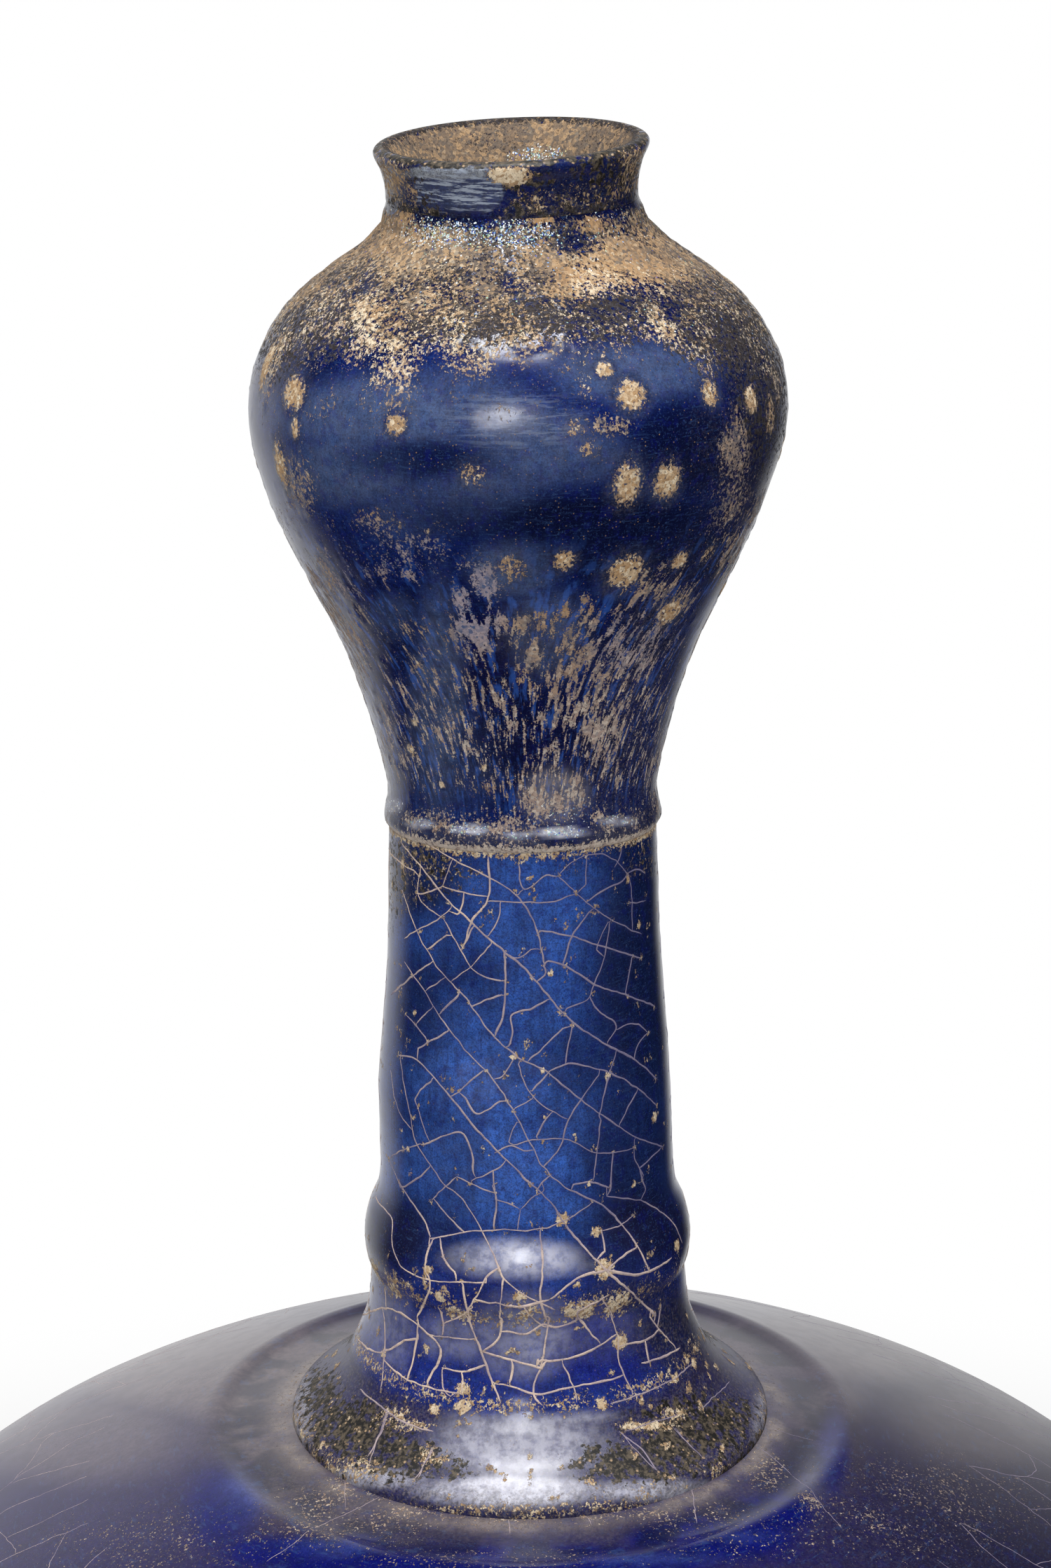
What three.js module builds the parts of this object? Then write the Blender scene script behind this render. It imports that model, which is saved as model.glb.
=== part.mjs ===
// Glazed bottle: a globular body on a foot ring, a ringed neck, a bulb and a small mouth.
// The potter threw it in sections and luted them together, and a cobalt glaze covers the outside.
// Millimetres, +Z up, the origin on the ground at the centre of the foot ring.
import * as THREE from "three";

// How the sections are turned, joined and coated
const facet_count = 32;
const glaze_thickness = 0.7;
const bond_clearance = 0.05;
const lap_height = 5;

// Foot ring
const foot_height = 8;
const foot_flare = 1.7;
const foot_width = 9;
const foot_bevel = 1.2;

// Body, from the foot ring up to the seat of the neck
const lower_body_height = 73.3;
const upper_body_height = 53.7;
const belly_radius = 101;
const base_radius = 50;
const body_wall = 5.5;
const floor_thickness = 7;
const bare_height = 5;
const shoulder_slope_degrees = 24;

// Raised ring on the shoulder
const shoulder_ring_radius = 42.3;
const shoulder_ring_width = 2.6;
const shoulder_ring_rise = 0.55;
const shoulder_ring_drop = 1.5;

// Collar round the foot of the neck
const collar_radius = 31.4;
const collar_edge_height = 1.5;
const collar_height = 11;
const collar_top_radius = 23;

// Neck, from its seat up to the joint under the bulb
const neck_height = 82;
const neck_bore_radius = 12.2;
const neck_spigot_radius = 18;
const crease_radius = 20.5;
const crease_height = 22.4;
const neck_ring_radius = 21.35;
const neck_ring_height = 13;
const neck_low_radius = 19.15;
const neck_top_radius = 17;

// Bulb, from the joint up to the waist under the mouth
const joint_ridge_height = 5;
const joint_ridge_radius = 17.55;
const lower_bulb_height = 47.5;
const upper_bulb_height = 26.9;
const bulb_radius = 33;
const bulb_wall = 4.4;

// Mouth
const mouth_height = 8;
const mouth_waist_radius = 15.3;
const mouth_radius = 16.7;
const mouth_bore_radius = 12;
const mouth_flare = 2.3;
const lip_round_height = 0.8;
const mouth_lap_height = 2.4;
const lining_depth = 6;

// Levels above the ground
const base_level = foot_height;
const bare_level = base_level + bare_height;
const belly_level = base_level + lower_body_height;
const seat_level = belly_level + upper_body_height;
const collar_edge_level = seat_level + collar_edge_height;
const collar_top_level = seat_level + collar_height;
const crease_level = seat_level + crease_height;
const neck_ring_top_level = crease_level + neck_ring_height;
const joint_level = seat_level + neck_height;
const bulb_start_level = joint_level + joint_ridge_height;
const equator_level = bulb_start_level + lower_bulb_height;
const waist_level = equator_level + upper_bulb_height;
const top_level = waist_level + mouth_height;
const lip_edge_level = top_level - lip_round_height;
const lining_level = waist_level - lining_depth;

// Outline tables: for each point a share of the height, and a share of the swell over the plain radius
const collar_flare_shares = [[0.1, 0.93], [0.32, 0.6], [0.62, 0.24], [1, 0]];
const neck_foot_shares = [[0.42, 0.3], [1, 0]];
const neck_ring_shares = [[0.1, 0.85], [0.32, 1], [0.58, 0.72], [0.8, 0.2], [1, 0]];
const neck_taper_shares = [[0.28, 0.84], [0.62, 0.27], [1, 0]];
const joint_ridge_shares = [[0.22, 1], [0.5, 0.8], [1, 0]];
const lower_bulb_shares = [[0.18, 0.11], [0.4, 0.32], [0.6, 0.6], [0.8, 0.86], [1, 1]];
const upper_bulb_shares = [[0.26, 0.945], [0.5, 0.735], [0.66, 0.46], [0.78, 0.2], [0.88, 0.05], [1, 0]];
const mouth_flare_shares = [[0.33, 0.06], [0.68, 0.42]];

// Shares and steps of the body's curves, and steps of the lip
const shoulder_reach_share = 0.58;
const belly_rise_share = 0.6;
const body_steps = 6;
const cavity_steps = 4;
const lip_steps = 3;

const at = (radius, level) => new THREE.Vector2(radius, level);

// Points from a table of shares, between two levels
function stations(low_level, high_level, plain_radius, full_radius, shares) {
  return shares.map(([height_share, swell_share]) =>
    at(
      plain_radius + (full_radius - plain_radius) * swell_share,
      low_level + (high_level - low_level) * height_share,
    ),
  );
}

// An outline has its material on its left. This moves it into the material, along its own normals.
function inset(outline, depth) {
  return outline.map((point, index) => {
    const before = outline[Math.max(index - 1, 0)];
    const after = outline[Math.min(index + 1, outline.length - 1)];
    const along = after.clone().sub(before).normalize();
    return at(point.x - along.y * depth, point.y + along.x * depth);
  });
}

// The same, with both ends cut level, so that sections meet on flat faces
function inset_level(outline, depth) {
  const moved = inset(outline, depth);
  moved[0] = at(outline[0].x - depth, outline[0].y);
  const last = outline.at(-1);
  const side = Math.sign(last.y - outline.at(-2).y);
  moved[moved.length - 1] = at(last.x - side * depth, last.y);
  return moved;
}

// The lower body follows an ellipse round the axis, from a start level up to the belly
function lower_body(widest_radius, foot_level, radius_at_foot, start_level, steps) {
  const foot_angle = Math.acos(radius_at_foot / widest_radius);
  const depth = (belly_level - foot_level) / Math.sin(foot_angle);
  const start_angle = Math.asin((belly_level - start_level) / depth);
  const points = [];
  for (let step = 0; step <= steps; step += 1) {
    const angle = start_angle * (1 - step / steps);
    points.push(at(widest_radius * Math.cos(angle), belly_level - depth * Math.sin(angle)));
  }
  return points;
}

// The upper body is one curve, from the belly up to the shoulder ring
const ring_foot_level = seat_level + glaze_thickness - shoulder_ring_drop;
const ring_foot_radius = shoulder_ring_radius + shoulder_ring_width / 2;

function upper_body(steps) {
  const slope = THREE.MathUtils.degToRad(shoulder_slope_degrees);
  const reach = (belly_radius - ring_foot_radius) * shoulder_reach_share;
  const rise = (ring_foot_level - belly_level) * belly_rise_share;
  const curve = new THREE.CubicBezierCurve(
    at(belly_radius, belly_level),
    at(belly_radius, belly_level + rise),
    at(ring_foot_radius + reach * Math.cos(slope), ring_foot_level - reach * Math.sin(slope)),
    at(ring_foot_radius, ring_foot_level),
  );
  return curve.getPoints(steps);
}

// Outlines of the glazed surface, from the base up to the lip and down into the mouth
const shoulder_ring_outline = [
  at(shoulder_ring_radius, ring_foot_level + shoulder_ring_rise),
  at(shoulder_ring_radius - shoulder_ring_width / 2, ring_foot_level + shoulder_ring_rise),
  at(shoulder_ring_radius - shoulder_ring_width, ring_foot_level + shoulder_ring_rise / 2),
];
const lower_body_outline = lower_body(belly_radius, base_level, base_radius, bare_level, body_steps);
const upper_body_outline = [
  ...upper_body(body_steps),
  ...shoulder_ring_outline,
  at(collar_radius, seat_level + glaze_thickness),
];
const collar_outline = [
  at(collar_radius, seat_level),
  at(collar_radius, collar_edge_level),
  ...stations(collar_edge_level, collar_top_level, collar_top_radius, collar_radius, collar_flare_shares),
];
const neck_outline = [
  at(collar_top_radius, collar_top_level),
  ...stations(collar_top_level, crease_level, crease_radius, collar_top_radius, neck_foot_shares),
  ...stations(crease_level, neck_ring_top_level, neck_low_radius, neck_ring_radius, neck_ring_shares),
  ...stations(neck_ring_top_level, joint_level, neck_top_radius, neck_low_radius, neck_taper_shares),
];
const lower_bulb_outline = [
  at(neck_top_radius, joint_level),
  ...stations(joint_level, bulb_start_level, neck_top_radius, joint_ridge_radius, joint_ridge_shares),
  ...stations(bulb_start_level, equator_level, neck_top_radius, bulb_radius, lower_bulb_shares),
];
const upper_bulb_outline = [
  at(bulb_radius, equator_level),
  ...stations(equator_level, waist_level, mouth_waist_radius, bulb_radius, upper_bulb_shares),
];

// The lip is half an ellipse between the outside and the flared bore
function lip() {
  const inner_radius = mouth_bore_radius + mouth_flare;
  const middle_radius = (mouth_radius + inner_radius) / 2;
  const half_width = (mouth_radius - inner_radius) / 2;
  const points = [];
  for (let step = 0; step <= lip_steps; step += 1) {
    const angle = (Math.PI * step) / lip_steps;
    points.push(
      at(
        middle_radius + half_width * Math.cos(angle),
        lip_edge_level + lip_round_height * Math.sin(angle),
      ),
    );
  }
  return points;
}

const mouth_outline = [
  at(mouth_waist_radius, waist_level),
  ...stations(waist_level, lip_edge_level, mouth_waist_radius, mouth_radius, mouth_flare_shares),
  ...lip(),
  at(mouth_bore_radius, waist_level + mouth_lap_height),
];
const lining_outline = [...mouth_outline, at(mouth_bore_radius, lining_level)];

// Surfaces of the paste under the glaze, and of the hollow inside
const paste_bore_radius = mouth_bore_radius + glaze_thickness;
const belly_inner_radius = belly_radius - glaze_thickness - body_wall;
const belly_lap_radius = belly_radius - glaze_thickness - body_wall / 2;
const bulb_inner_radius = bulb_radius - glaze_thickness - bulb_wall;
const bulb_lap_radius = bulb_radius - glaze_thickness - bulb_wall / 2;
const joint_lap_radius = (neck_top_radius - glaze_thickness + neck_bore_radius) / 2;
const mouth_lap_radius = (mouth_waist_radius - glaze_thickness + paste_bore_radius) / 2;
const paste_base_radius = base_radius - glaze_thickness;
const foot_radius = paste_base_radius + foot_flare;
const skin_depth = glaze_thickness - bond_clearance;

// The body's coat ends upright against the collar, and level at the bare paste
function body_surface(depth) {
  const outline = [...lower_body_outline, ...upper_body_outline.slice(1)];
  const moved = inset_level(outline, depth);
  moved[moved.length - 1] = at(collar_radius, seat_level + glaze_thickness - depth);
  return moved;
}
const body_paste = body_surface(glaze_thickness);
const belly_index = lower_body_outline.length - 1;

function revolve(name, profile, material) {
  const geometry = new THREE.LatheGeometry([...profile, profile[0]], facet_count);
  geometry.rotateX(Math.PI / 2);
  const mesh = new THREE.Mesh(geometry, material);
  mesh.name = name;
  return mesh;
}

const stonepaste = () => new THREE.MeshStandardMaterial({ color: 0xc9b48c, roughness: 0.85, metalness: 0 });
const cobalt_glaze = () => new THREE.MeshStandardMaterial({ color: 0x1b2a6b, roughness: 0.25, metalness: 0 });

function foot_ring() {
  const inner_radius = foot_radius - foot_width;
  return revolve("foot_ring", [
    at(inner_radius + foot_bevel, 0),
    at(foot_radius - foot_bevel, 0),
    at(foot_radius, foot_bevel),
    at(paste_base_radius, base_level),
    at(inner_radius, base_level),
    at(inner_radius, foot_bevel),
  ], stonepaste());
}

function body_lower() {
  const cavity_level = base_level + floor_thickness;
  const cavity_radius = base_radius - body_wall;
  const cavity = lower_body(belly_inner_radius, cavity_level, cavity_radius, cavity_level, cavity_steps);
  return revolve("body_lower", [
    at(0, base_level),
    at(paste_base_radius, base_level),
    ...body_paste.slice(0, belly_index + 1),
    at(belly_lap_radius, belly_level),
    at(belly_lap_radius, belly_level + lap_height),
    at(belly_inner_radius, belly_level + lap_height),
    ...cavity.reverse(),
    at(0, cavity_level),
  ], stonepaste());
}

function body_upper() {
  const cavity = inset(upper_body(cavity_steps), glaze_thickness + body_wall).slice(1);
  return revolve("body_upper", [
    at(belly_lap_radius, belly_level),
    ...body_paste.slice(belly_index),
    at(neck_bore_radius, seat_level),
    at(neck_bore_radius, cavity.at(-1).y),
    ...cavity.reverse(),
    at(belly_inner_radius, belly_level + lap_height),
    at(belly_lap_radius, belly_level + lap_height),
  ], stonepaste());
}

function neck_collar() {
  return revolve("neck_collar", [
    at(neck_spigot_radius, seat_level),
    ...inset_level(collar_outline, glaze_thickness),
    at(neck_spigot_radius, collar_top_level),
  ], stonepaste());
}

function neck_tube() {
  return revolve("neck_tube", [
    at(neck_bore_radius, seat_level),
    at(neck_spigot_radius, seat_level),
    at(neck_spigot_radius, collar_top_level),
    ...inset_level(neck_outline, glaze_thickness),
    at(joint_lap_radius, joint_level),
    at(joint_lap_radius, joint_level + lap_height),
    at(neck_bore_radius, joint_level + lap_height),
  ], stonepaste());
}

function bulb_lower() {
  const cavity_level = joint_level + lap_height + bulb_wall;
  const cavity = [
    at(neck_bore_radius, cavity_level),
    ...stations(cavity_level, equator_level, neck_bore_radius, bulb_inner_radius, lower_bulb_shares),
  ];
  return revolve("bulb_lower", [
    at(joint_lap_radius, joint_level),
    ...inset_level(lower_bulb_outline, glaze_thickness),
    at(bulb_lap_radius, equator_level),
    at(bulb_lap_radius, equator_level + lap_height),
    at(bulb_inner_radius, equator_level + lap_height),
    ...cavity.reverse(),
    at(neck_bore_radius, joint_level + lap_height),
    at(joint_lap_radius, joint_level + lap_height),
  ], stonepaste());
}

function bulb_upper() {
  const cavity_start = equator_level + lap_height;
  const cavity = [
    at(bulb_inner_radius, cavity_start),
    ...stations(cavity_start, lining_level, paste_bore_radius, bulb_inner_radius, upper_bulb_shares),
  ];
  return revolve("bulb_upper", [
    at(bulb_lap_radius, equator_level),
    ...inset_level(upper_bulb_outline, glaze_thickness),
    at(mouth_lap_radius, waist_level),
    at(mouth_lap_radius, waist_level + mouth_lap_height),
    at(paste_bore_radius, waist_level + mouth_lap_height),
    ...cavity.reverse(),
    at(bulb_lap_radius, cavity_start),
  ], stonepaste());
}

function mouth_rim() {
  return revolve("mouth_rim", [
    at(mouth_lap_radius, waist_level),
    ...inset_level(mouth_outline, glaze_thickness),
    at(mouth_lap_radius, waist_level + mouth_lap_height),
  ], stonepaste());
}

// A coat lies between its outline and the paste
function coat(name, outline, paste_side) {
  return revolve(name, [...outline, ...paste_side.reverse()], cobalt_glaze());
}

const glaze_body = () =>
  coat("glaze_body", [...lower_body_outline, ...upper_body_outline.slice(1)], body_surface(skin_depth));

function glaze_neck() {
  const collar = inset_level(collar_outline, skin_depth);
  const neck = inset_level(neck_outline, skin_depth);
  return coat("glaze_neck", [...collar_outline, ...neck_outline.slice(1)], [...collar, ...neck.slice(1)]);
}

function glaze_bulb() {
  const lower = inset_level(lower_bulb_outline, skin_depth);
  const upper = inset_level(upper_bulb_outline, skin_depth);
  return coat(
    "glaze_bulb",
    [...lower_bulb_outline, ...upper_bulb_outline.slice(1)],
    [...lower, ...upper.slice(1)],
  );
}

const glaze_mouth = () => coat("glaze_mouth", lining_outline, inset_level(lining_outline, skin_depth));

const group = new THREE.Group();
group.add(
  foot_ring(),
  body_lower(),
  body_upper(),
  neck_collar(),
  neck_tube(),
  bulb_lower(),
  bulb_upper(),
  mouth_rim(),
  glaze_body(),
  glaze_neck(),
  glaze_bulb(),
  glaze_mouth(),
);

export default group;
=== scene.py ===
import math
from functools import reduce

import bpy
import numpy as np
from mathutils import Matrix, Vector
from mathutils.kdtree import KDTree


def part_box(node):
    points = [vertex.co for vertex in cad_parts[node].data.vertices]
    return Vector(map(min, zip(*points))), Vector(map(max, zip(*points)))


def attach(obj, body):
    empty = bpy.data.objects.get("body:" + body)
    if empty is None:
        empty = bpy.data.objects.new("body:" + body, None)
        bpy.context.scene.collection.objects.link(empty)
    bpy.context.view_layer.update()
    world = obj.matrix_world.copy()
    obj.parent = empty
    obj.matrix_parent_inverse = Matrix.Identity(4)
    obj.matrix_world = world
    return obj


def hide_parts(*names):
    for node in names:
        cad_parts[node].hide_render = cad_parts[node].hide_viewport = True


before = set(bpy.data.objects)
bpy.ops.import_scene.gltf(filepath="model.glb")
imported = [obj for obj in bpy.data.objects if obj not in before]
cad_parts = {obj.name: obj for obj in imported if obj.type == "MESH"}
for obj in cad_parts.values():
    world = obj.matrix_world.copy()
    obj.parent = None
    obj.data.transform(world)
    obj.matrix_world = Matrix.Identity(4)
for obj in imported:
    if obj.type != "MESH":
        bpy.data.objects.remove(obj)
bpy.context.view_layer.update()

# A worn cobalt-glazed bottle: smooth fine meshes over the sections of the frame, and node materials.
# Everything is in metres. MM turns the small sizes of relief and wear, written in millimetres, into metres.
MM = 0.001

# The photograph, and the camera that took it
PHOTO_WIDTH = 1500
PHOTO_HEIGHT = 2238
FOCAL_PIXELS = 5500
SENSOR_WIDTH = 36
CAMERA_PITCH = math.radians(17)
CAMERA_ROLL = math.radians(0.45)
CAMERA_DISTANCE = 0.4857
AXIS_PIXEL_X = 745
AIM_ABOVE_JOINT = 5 * MM

# Levels and radii of the frame that the wear and the crookedness follow
JOINT_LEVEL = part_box("glaze_bulb")[0].z
WAIST_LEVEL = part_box("glaze_bulb")[1].z
SEAT_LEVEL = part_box("glaze_neck")[0].z
COLLAR_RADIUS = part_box("glaze_neck")[1].x
TOP_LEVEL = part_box("glaze_mouth")[1].z
BARE_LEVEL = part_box("glaze_body")[0].z
AIM_LEVEL = JOINT_LEVEL + AIM_ABOVE_JOINT

# The potter's crookedness: a leaning neck, a skewed joint and a tilted mouth
NECK_LEAN = math.radians(0.38)
LEAN_FADE_RADIUS = COLLAR_RADIUS + 9 * MM
JOINT_SKEW = 1.3 * MM
JOINT_SKEW_REACH = 11 * MM
JOINT_RADIUS = 17 * MM
MOUTH_TILT_FORWARD = math.radians(2.2)
MOUTH_TILT_RIGHT = math.radians(2)
MOUTH_TILT_START = WAIST_LEVEL - 6 * MM
MOUTH_DROP = 1.4 * MM

# Sideways bends of the neck and bulb, to the right: levels and shifts in millimetres
BEND_LEVELS = (160, 172, 182, 200, 262, 274, 290, 297, 305)
BEND_SHIFTS = (-0.2, -0.1, -0.25, 0, 0, 0.3, 0.45, -0.15, -0.15)


def smooth_step(values, low, high):
    """0 up to the low value, 1 from the high one on, and an even bend between."""
    share = np.clip((values - low) / (high - low), 0, 1)
    return share * share * (3 - 2 * share)


def bell(values, centre, width):
    """1 at the centre, falling away softly on both sides."""
    return np.exp(-(((values - centre) / width) ** 2))


def strongest(*fields):
    """The largest of several fields at each point."""
    return reduce(np.maximum, fields)


def unit(vectors):
    """The vectors, each brought to length 1."""
    return vectors / np.linalg.norm(vectors, axis=1)[:, None]


def circle(angles):
    """Points on a circle of radius 1 round the axis."""
    return np.stack([np.cos(angles), np.sin(angles), 0 * angles], axis=1)


def length_along(points):
    """How far each point is from the first, along the line through them."""
    return np.r_[0, np.cumsum(np.linalg.norm(np.diff(points, axis=0), axis=1))]


# Smooth noise on a wrapped lattice

LATTICE = 64
LAYER_FADE = 0.55
NOISE_SPREAD = 1.9


def value_noise(points, cell, seed):
    """Smooth random values from 0 to 1, with one random value for each cell corner."""
    table = np.random.default_rng(seed).random((LATTICE, LATTICE, LATTICE))
    scaled = points / cell
    base = np.floor(scaled).astype(int)
    share = smooth_step(scaled - base, 0, 1)
    total = np.zeros(len(points))
    for corner in np.ndindex(2, 2, 2):
        weight = np.ones(len(points))
        for axis in range(3):
            weight *= share[:, axis] if corner[axis] else 1 - share[:, axis]
        index = (base + corner) % LATTICE
        total += weight * table[index[:, 0], index[:, 1], index[:, 2]]
    return total


def layered_noise(points, cell, seed, layers=4):
    """Several octaves of value noise, spread out to fill 0 to 1."""
    total = np.zeros(len(points))
    weight_sum = 0
    weight = 1
    for layer in range(layers):
        total += weight * value_noise(points, cell / 2**layer, seed + layer)
        weight_sum += weight
        weight *= LAYER_FADE
    return np.clip((total / weight_sum - 0.5) * NOISE_SPREAD + 0.5, 0, 1)


# The camera, as a map from points to picture coordinates

def camera_axes():
    """The camera's right, up and forward directions."""
    forward = np.array([0, math.cos(CAMERA_PITCH), -math.sin(CAMERA_PITCH)])
    level_right = np.array([1.0, 0, 0])
    level_up = np.cross(level_right, forward)
    cosine, sine = math.cos(CAMERA_ROLL), math.sin(CAMERA_ROLL)
    right = cosine * level_right - sine * level_up
    up = sine * level_right + cosine * level_up
    return right, up, forward


CAMERA_RIGHT, CAMERA_UP, CAMERA_FORWARD = camera_axes()
AXIS_OFFSET = (AXIS_PIXEL_X - PHOTO_WIDTH / 2) / FOCAL_PIXELS * CAMERA_DISTANCE
CAMERA_PLACE = (
    np.array([0, 0, AIM_LEVEL])
    - CAMERA_DISTANCE * CAMERA_FORWARD
    - AXIS_OFFSET * CAMERA_RIGHT
)


def to_photo(points):
    """Picture coordinates of points, in pixels of the photograph."""
    away = points - CAMERA_PLACE
    depth = away @ CAMERA_FORWARD
    across = away @ CAMERA_RIGHT / depth * FOCAL_PIXELS
    upward = away @ CAMERA_UP / depth * FOCAL_PIXELS
    return np.stack([PHOTO_WIDTH / 2 + across, PHOTO_HEIGHT / 2 - upward], axis=1)


def facing_camera(points, outward):
    """The cosine between each outward direction and the way to the camera."""
    return np.sum(outward * unit(CAMERA_PLACE - points), axis=1)


def crook(points):
    """Moves points of the true bodies of revolution to where the crooked bottle has them."""
    moved = points.copy()
    radius = np.hypot(points[:, 0], points[:, 1])
    level = points[:, 2]
    on_neck = np.maximum(
        1 - smooth_step(radius, COLLAR_RADIUS, LEAN_FADE_RADIUS),
        smooth_step(level, SEAT_LEVEL, SEAT_LEVEL + 3 * MM),
    )
    on_neck = on_neck * smooth_step(level, SEAT_LEVEL - 8 * MM, SEAT_LEVEL - 2 * MM)
    moved[:, 0] += on_neck * math.tan(NECK_LEAN) * (AIM_LEVEL - level)
    moved[:, 0] += on_neck * np.interp(level / MM, BEND_LEVELS, BEND_SHIFTS) * MM
    near_joint = bell(level, JOINT_LEVEL, JOINT_SKEW_REACH)
    moved[:, 2] -= near_joint * JOINT_SKEW * points[:, 1] / JOINT_RADIUS
    at_mouth = smooth_step(level, MOUTH_TILT_START, TOP_LEVEL)
    moved[:, 2] += at_mouth * (
        points[:, 1] * math.tan(MOUTH_TILT_FORWARD)
        + points[:, 0] * math.tan(MOUTH_TILT_RIGHT)
        - MOUTH_DROP
    )
    return moved


# Profiles, read from the frame and smoothed

CREASE_ANGLE = math.radians(24)
OFF_PLANE = 1e-5
ON_AXIS = 1e-6
LEVEL_TOLERANCE = 0.01 * MM
CURVE_SAMPLES = 40


def profile_loop(node):
    """The closed profile of a body of revolution, as radius and level, with its material on the left."""
    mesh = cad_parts[node].data
    points = {}
    links = {}

    def key_of(vertex):
        place = mesh.vertices[vertex].co
        if abs(place.y) > OFF_PLANE or place.x < -ON_AXIS:
            return None
        key = (round(place.x, 5), round(place.z, 5))
        points[key] = (place.x, place.z)
        return key

    for edge in mesh.edges:
        first, second = (key_of(vertex) for vertex in edge.vertices)
        if first is None or second is None or first == second:
            continue
        links.setdefault(first, set()).add(second)
        links.setdefault(second, set()).add(first)
    on_axis = [key for key in links if key[0] < ON_AXIS]
    if len(on_axis) == 2:
        links[on_axis[0]].add(on_axis[1])
        links[on_axis[1]].add(on_axis[0])
    start = min(links, key=lambda key: (key[1], -key[0]))
    path = [start]
    before = None
    while True:
        following = [key for key in sorted(links[path[-1]]) if key != before]
        following = [key for key in following if key not in path[1:]]
        if before is None:
            following = following[:1]
        if not following or following[0] == start:
            break
        before = path[-1]
        path.append(following[0])
    loop = np.array([points[key] for key in path])
    x, z = loop[:, 0], loop[:, 1]
    area = np.sum(x * np.roll(z, -1) - np.roll(x, -1) * z)
    return loop if area > 0 else loop[::-1]


def outer_outline(node, start_level):
    """The glazed side of a coat: the first half of its loop, counted from its widest point at a level."""
    loop = profile_loop(node)
    at_start = np.abs(loop[:, 1] - start_level) < LEVEL_TOLERANCE
    candidates = np.flatnonzero(at_start)
    start = candidates[np.argmax(loop[candidates, 0])]
    return np.roll(loop, -start, axis=0)[: len(loop) // 2]


def crease_places(outline):
    """The points where the outline turns sharply into a hollow."""
    steps = np.diff(outline, axis=0)
    angle = np.unwrap(np.arctan2(steps[:, 1], steps[:, 0]))
    turn = np.diff(angle)
    return [0] + [int(i) + 1 for i in np.flatnonzero(turn < -CREASE_ANGLE)] + [len(outline) - 1]


def smooth_curve(points, spacing):
    """A Catmull-Rom curve through the points, sampled evenly."""
    padded = np.vstack([2 * points[0] - points[1], points, 2 * points[-1] - points[-2]])
    dense = []
    for index in range(1, len(padded) - 2):
        a, b, c, d = padded[index - 1 : index + 3]
        ab, bc, cd = (np.sqrt(np.linalg.norm(q - p)) for p, q in ((a, b), (b, c), (c, d)))
        leave = (b - a) / ab - (c - a) / (ab + bc) + (c - b) / bc
        arrive = (c - b) / bc - (d - b) / (bc + cd) + (d - c) / cd
        for share in np.linspace(0, 1, CURVE_SAMPLES, endpoint=False):
            s2, s3 = share**2, share**3
            dense.append(
                (2 * s3 - 3 * s2 + 1) * b
                + (s3 - 2 * s2 + share) * leave * bc
                + (3 * s2 - 2 * s3) * c
                + (s3 - s2) * arrive * bc
            )
    dense.append(points[-1])
    dense = np.array(dense)
    length = length_along(dense)
    count = max(2, round(length[-1] / spacing))
    wanted = np.linspace(0, length[-1], count + 1)
    return np.stack([np.interp(wanted, length, dense[:, k]) for k in range(2)], axis=1)


def smooth_outline(outline, spacing):
    """The outline with its curves rounded and its creases kept."""
    places = crease_places(outline)
    parts = [
        smooth_curve(outline[first : last + 1], spacing)[:-1]
        for first, last in zip(places[:-1], places[1:])
    ]
    return np.vstack(parts + [outline[-1:]])


def outline_normals(outline):
    """The outward direction at each point of an outline, as its parts along radius and level."""
    steps = unit(np.gradient(outline, axis=0))
    return np.stack([steps[:, 1], -steps[:, 0]], axis=1)


# Meshes of revolution

def revolve(profile, columns):
    """Points of a profile turned round the axis, row by row."""
    angles = np.arange(columns) * 2 * math.pi / columns
    radius, level = profile[:, 0][:, None], profile[:, 1][:, None]
    points = np.stack(
        [radius * np.cos(angles), radius * np.sin(angles), level + 0 * angles], axis=2
    )
    return points.reshape(-1, 3)


def ring_faces(rows, columns):
    """Quads between rows of points that run round the axis. The last row joins the first."""
    row = np.arange(rows)[:, None]
    column = np.arange(columns)[None, :]
    next_row, next_column = (row + 1) % rows, (column + 1) % columns
    corners = (
        row * columns + column,
        row * columns + next_column,
        next_row * columns + next_column,
        next_row * columns + column,
    )
    return np.stack([np.broadcast_to(c, (rows, columns)) for c in corners], axis=2).reshape(-1, 4)


def make_object(name, points, faces, material):
    """A smooth-shaded object in the scene, made of points and faces."""
    mesh = bpy.data.meshes.new(name)
    mesh.from_pydata(points, [], np.asarray(faces).tolist())
    mesh.update()
    mesh.shade_smooth()
    mesh.materials.append(material)
    piece = bpy.data.objects.new(name, mesh)
    bpy.context.scene.collection.objects.link(piece)
    return piece


def store(piece, name, values):
    """Keeps one number or one vector for each point, for the materials to read."""
    kind = "FLOAT" if values.ndim == 1 else "FLOAT_COLOR"
    attribute = piece.data.attributes.new(name, kind, "POINT")
    if values.ndim == 1:
        attribute.data.foreach_set("value", values.astype(np.float32))
    else:
        opaque = np.c_[values, np.ones(len(values))]
        attribute.data.foreach_set("color", opaque.astype(np.float32).ravel())


def hand_over(piece, node):
    """Hangs the piece under the root, and hides the frame node that it takes the place of."""
    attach(piece, "root")
    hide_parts(node)


# Colours of the glaze, its crust, the dirt and the paste, written as 8-bit values

def linear(red, green, blue):
    """The colour in the linear scale that materials use."""
    values = np.array([red, green, blue]) / 255
    return np.where(values <= 0.04045, values / 12.92, ((values + 0.055) / 1.055) ** 2.4)


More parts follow.
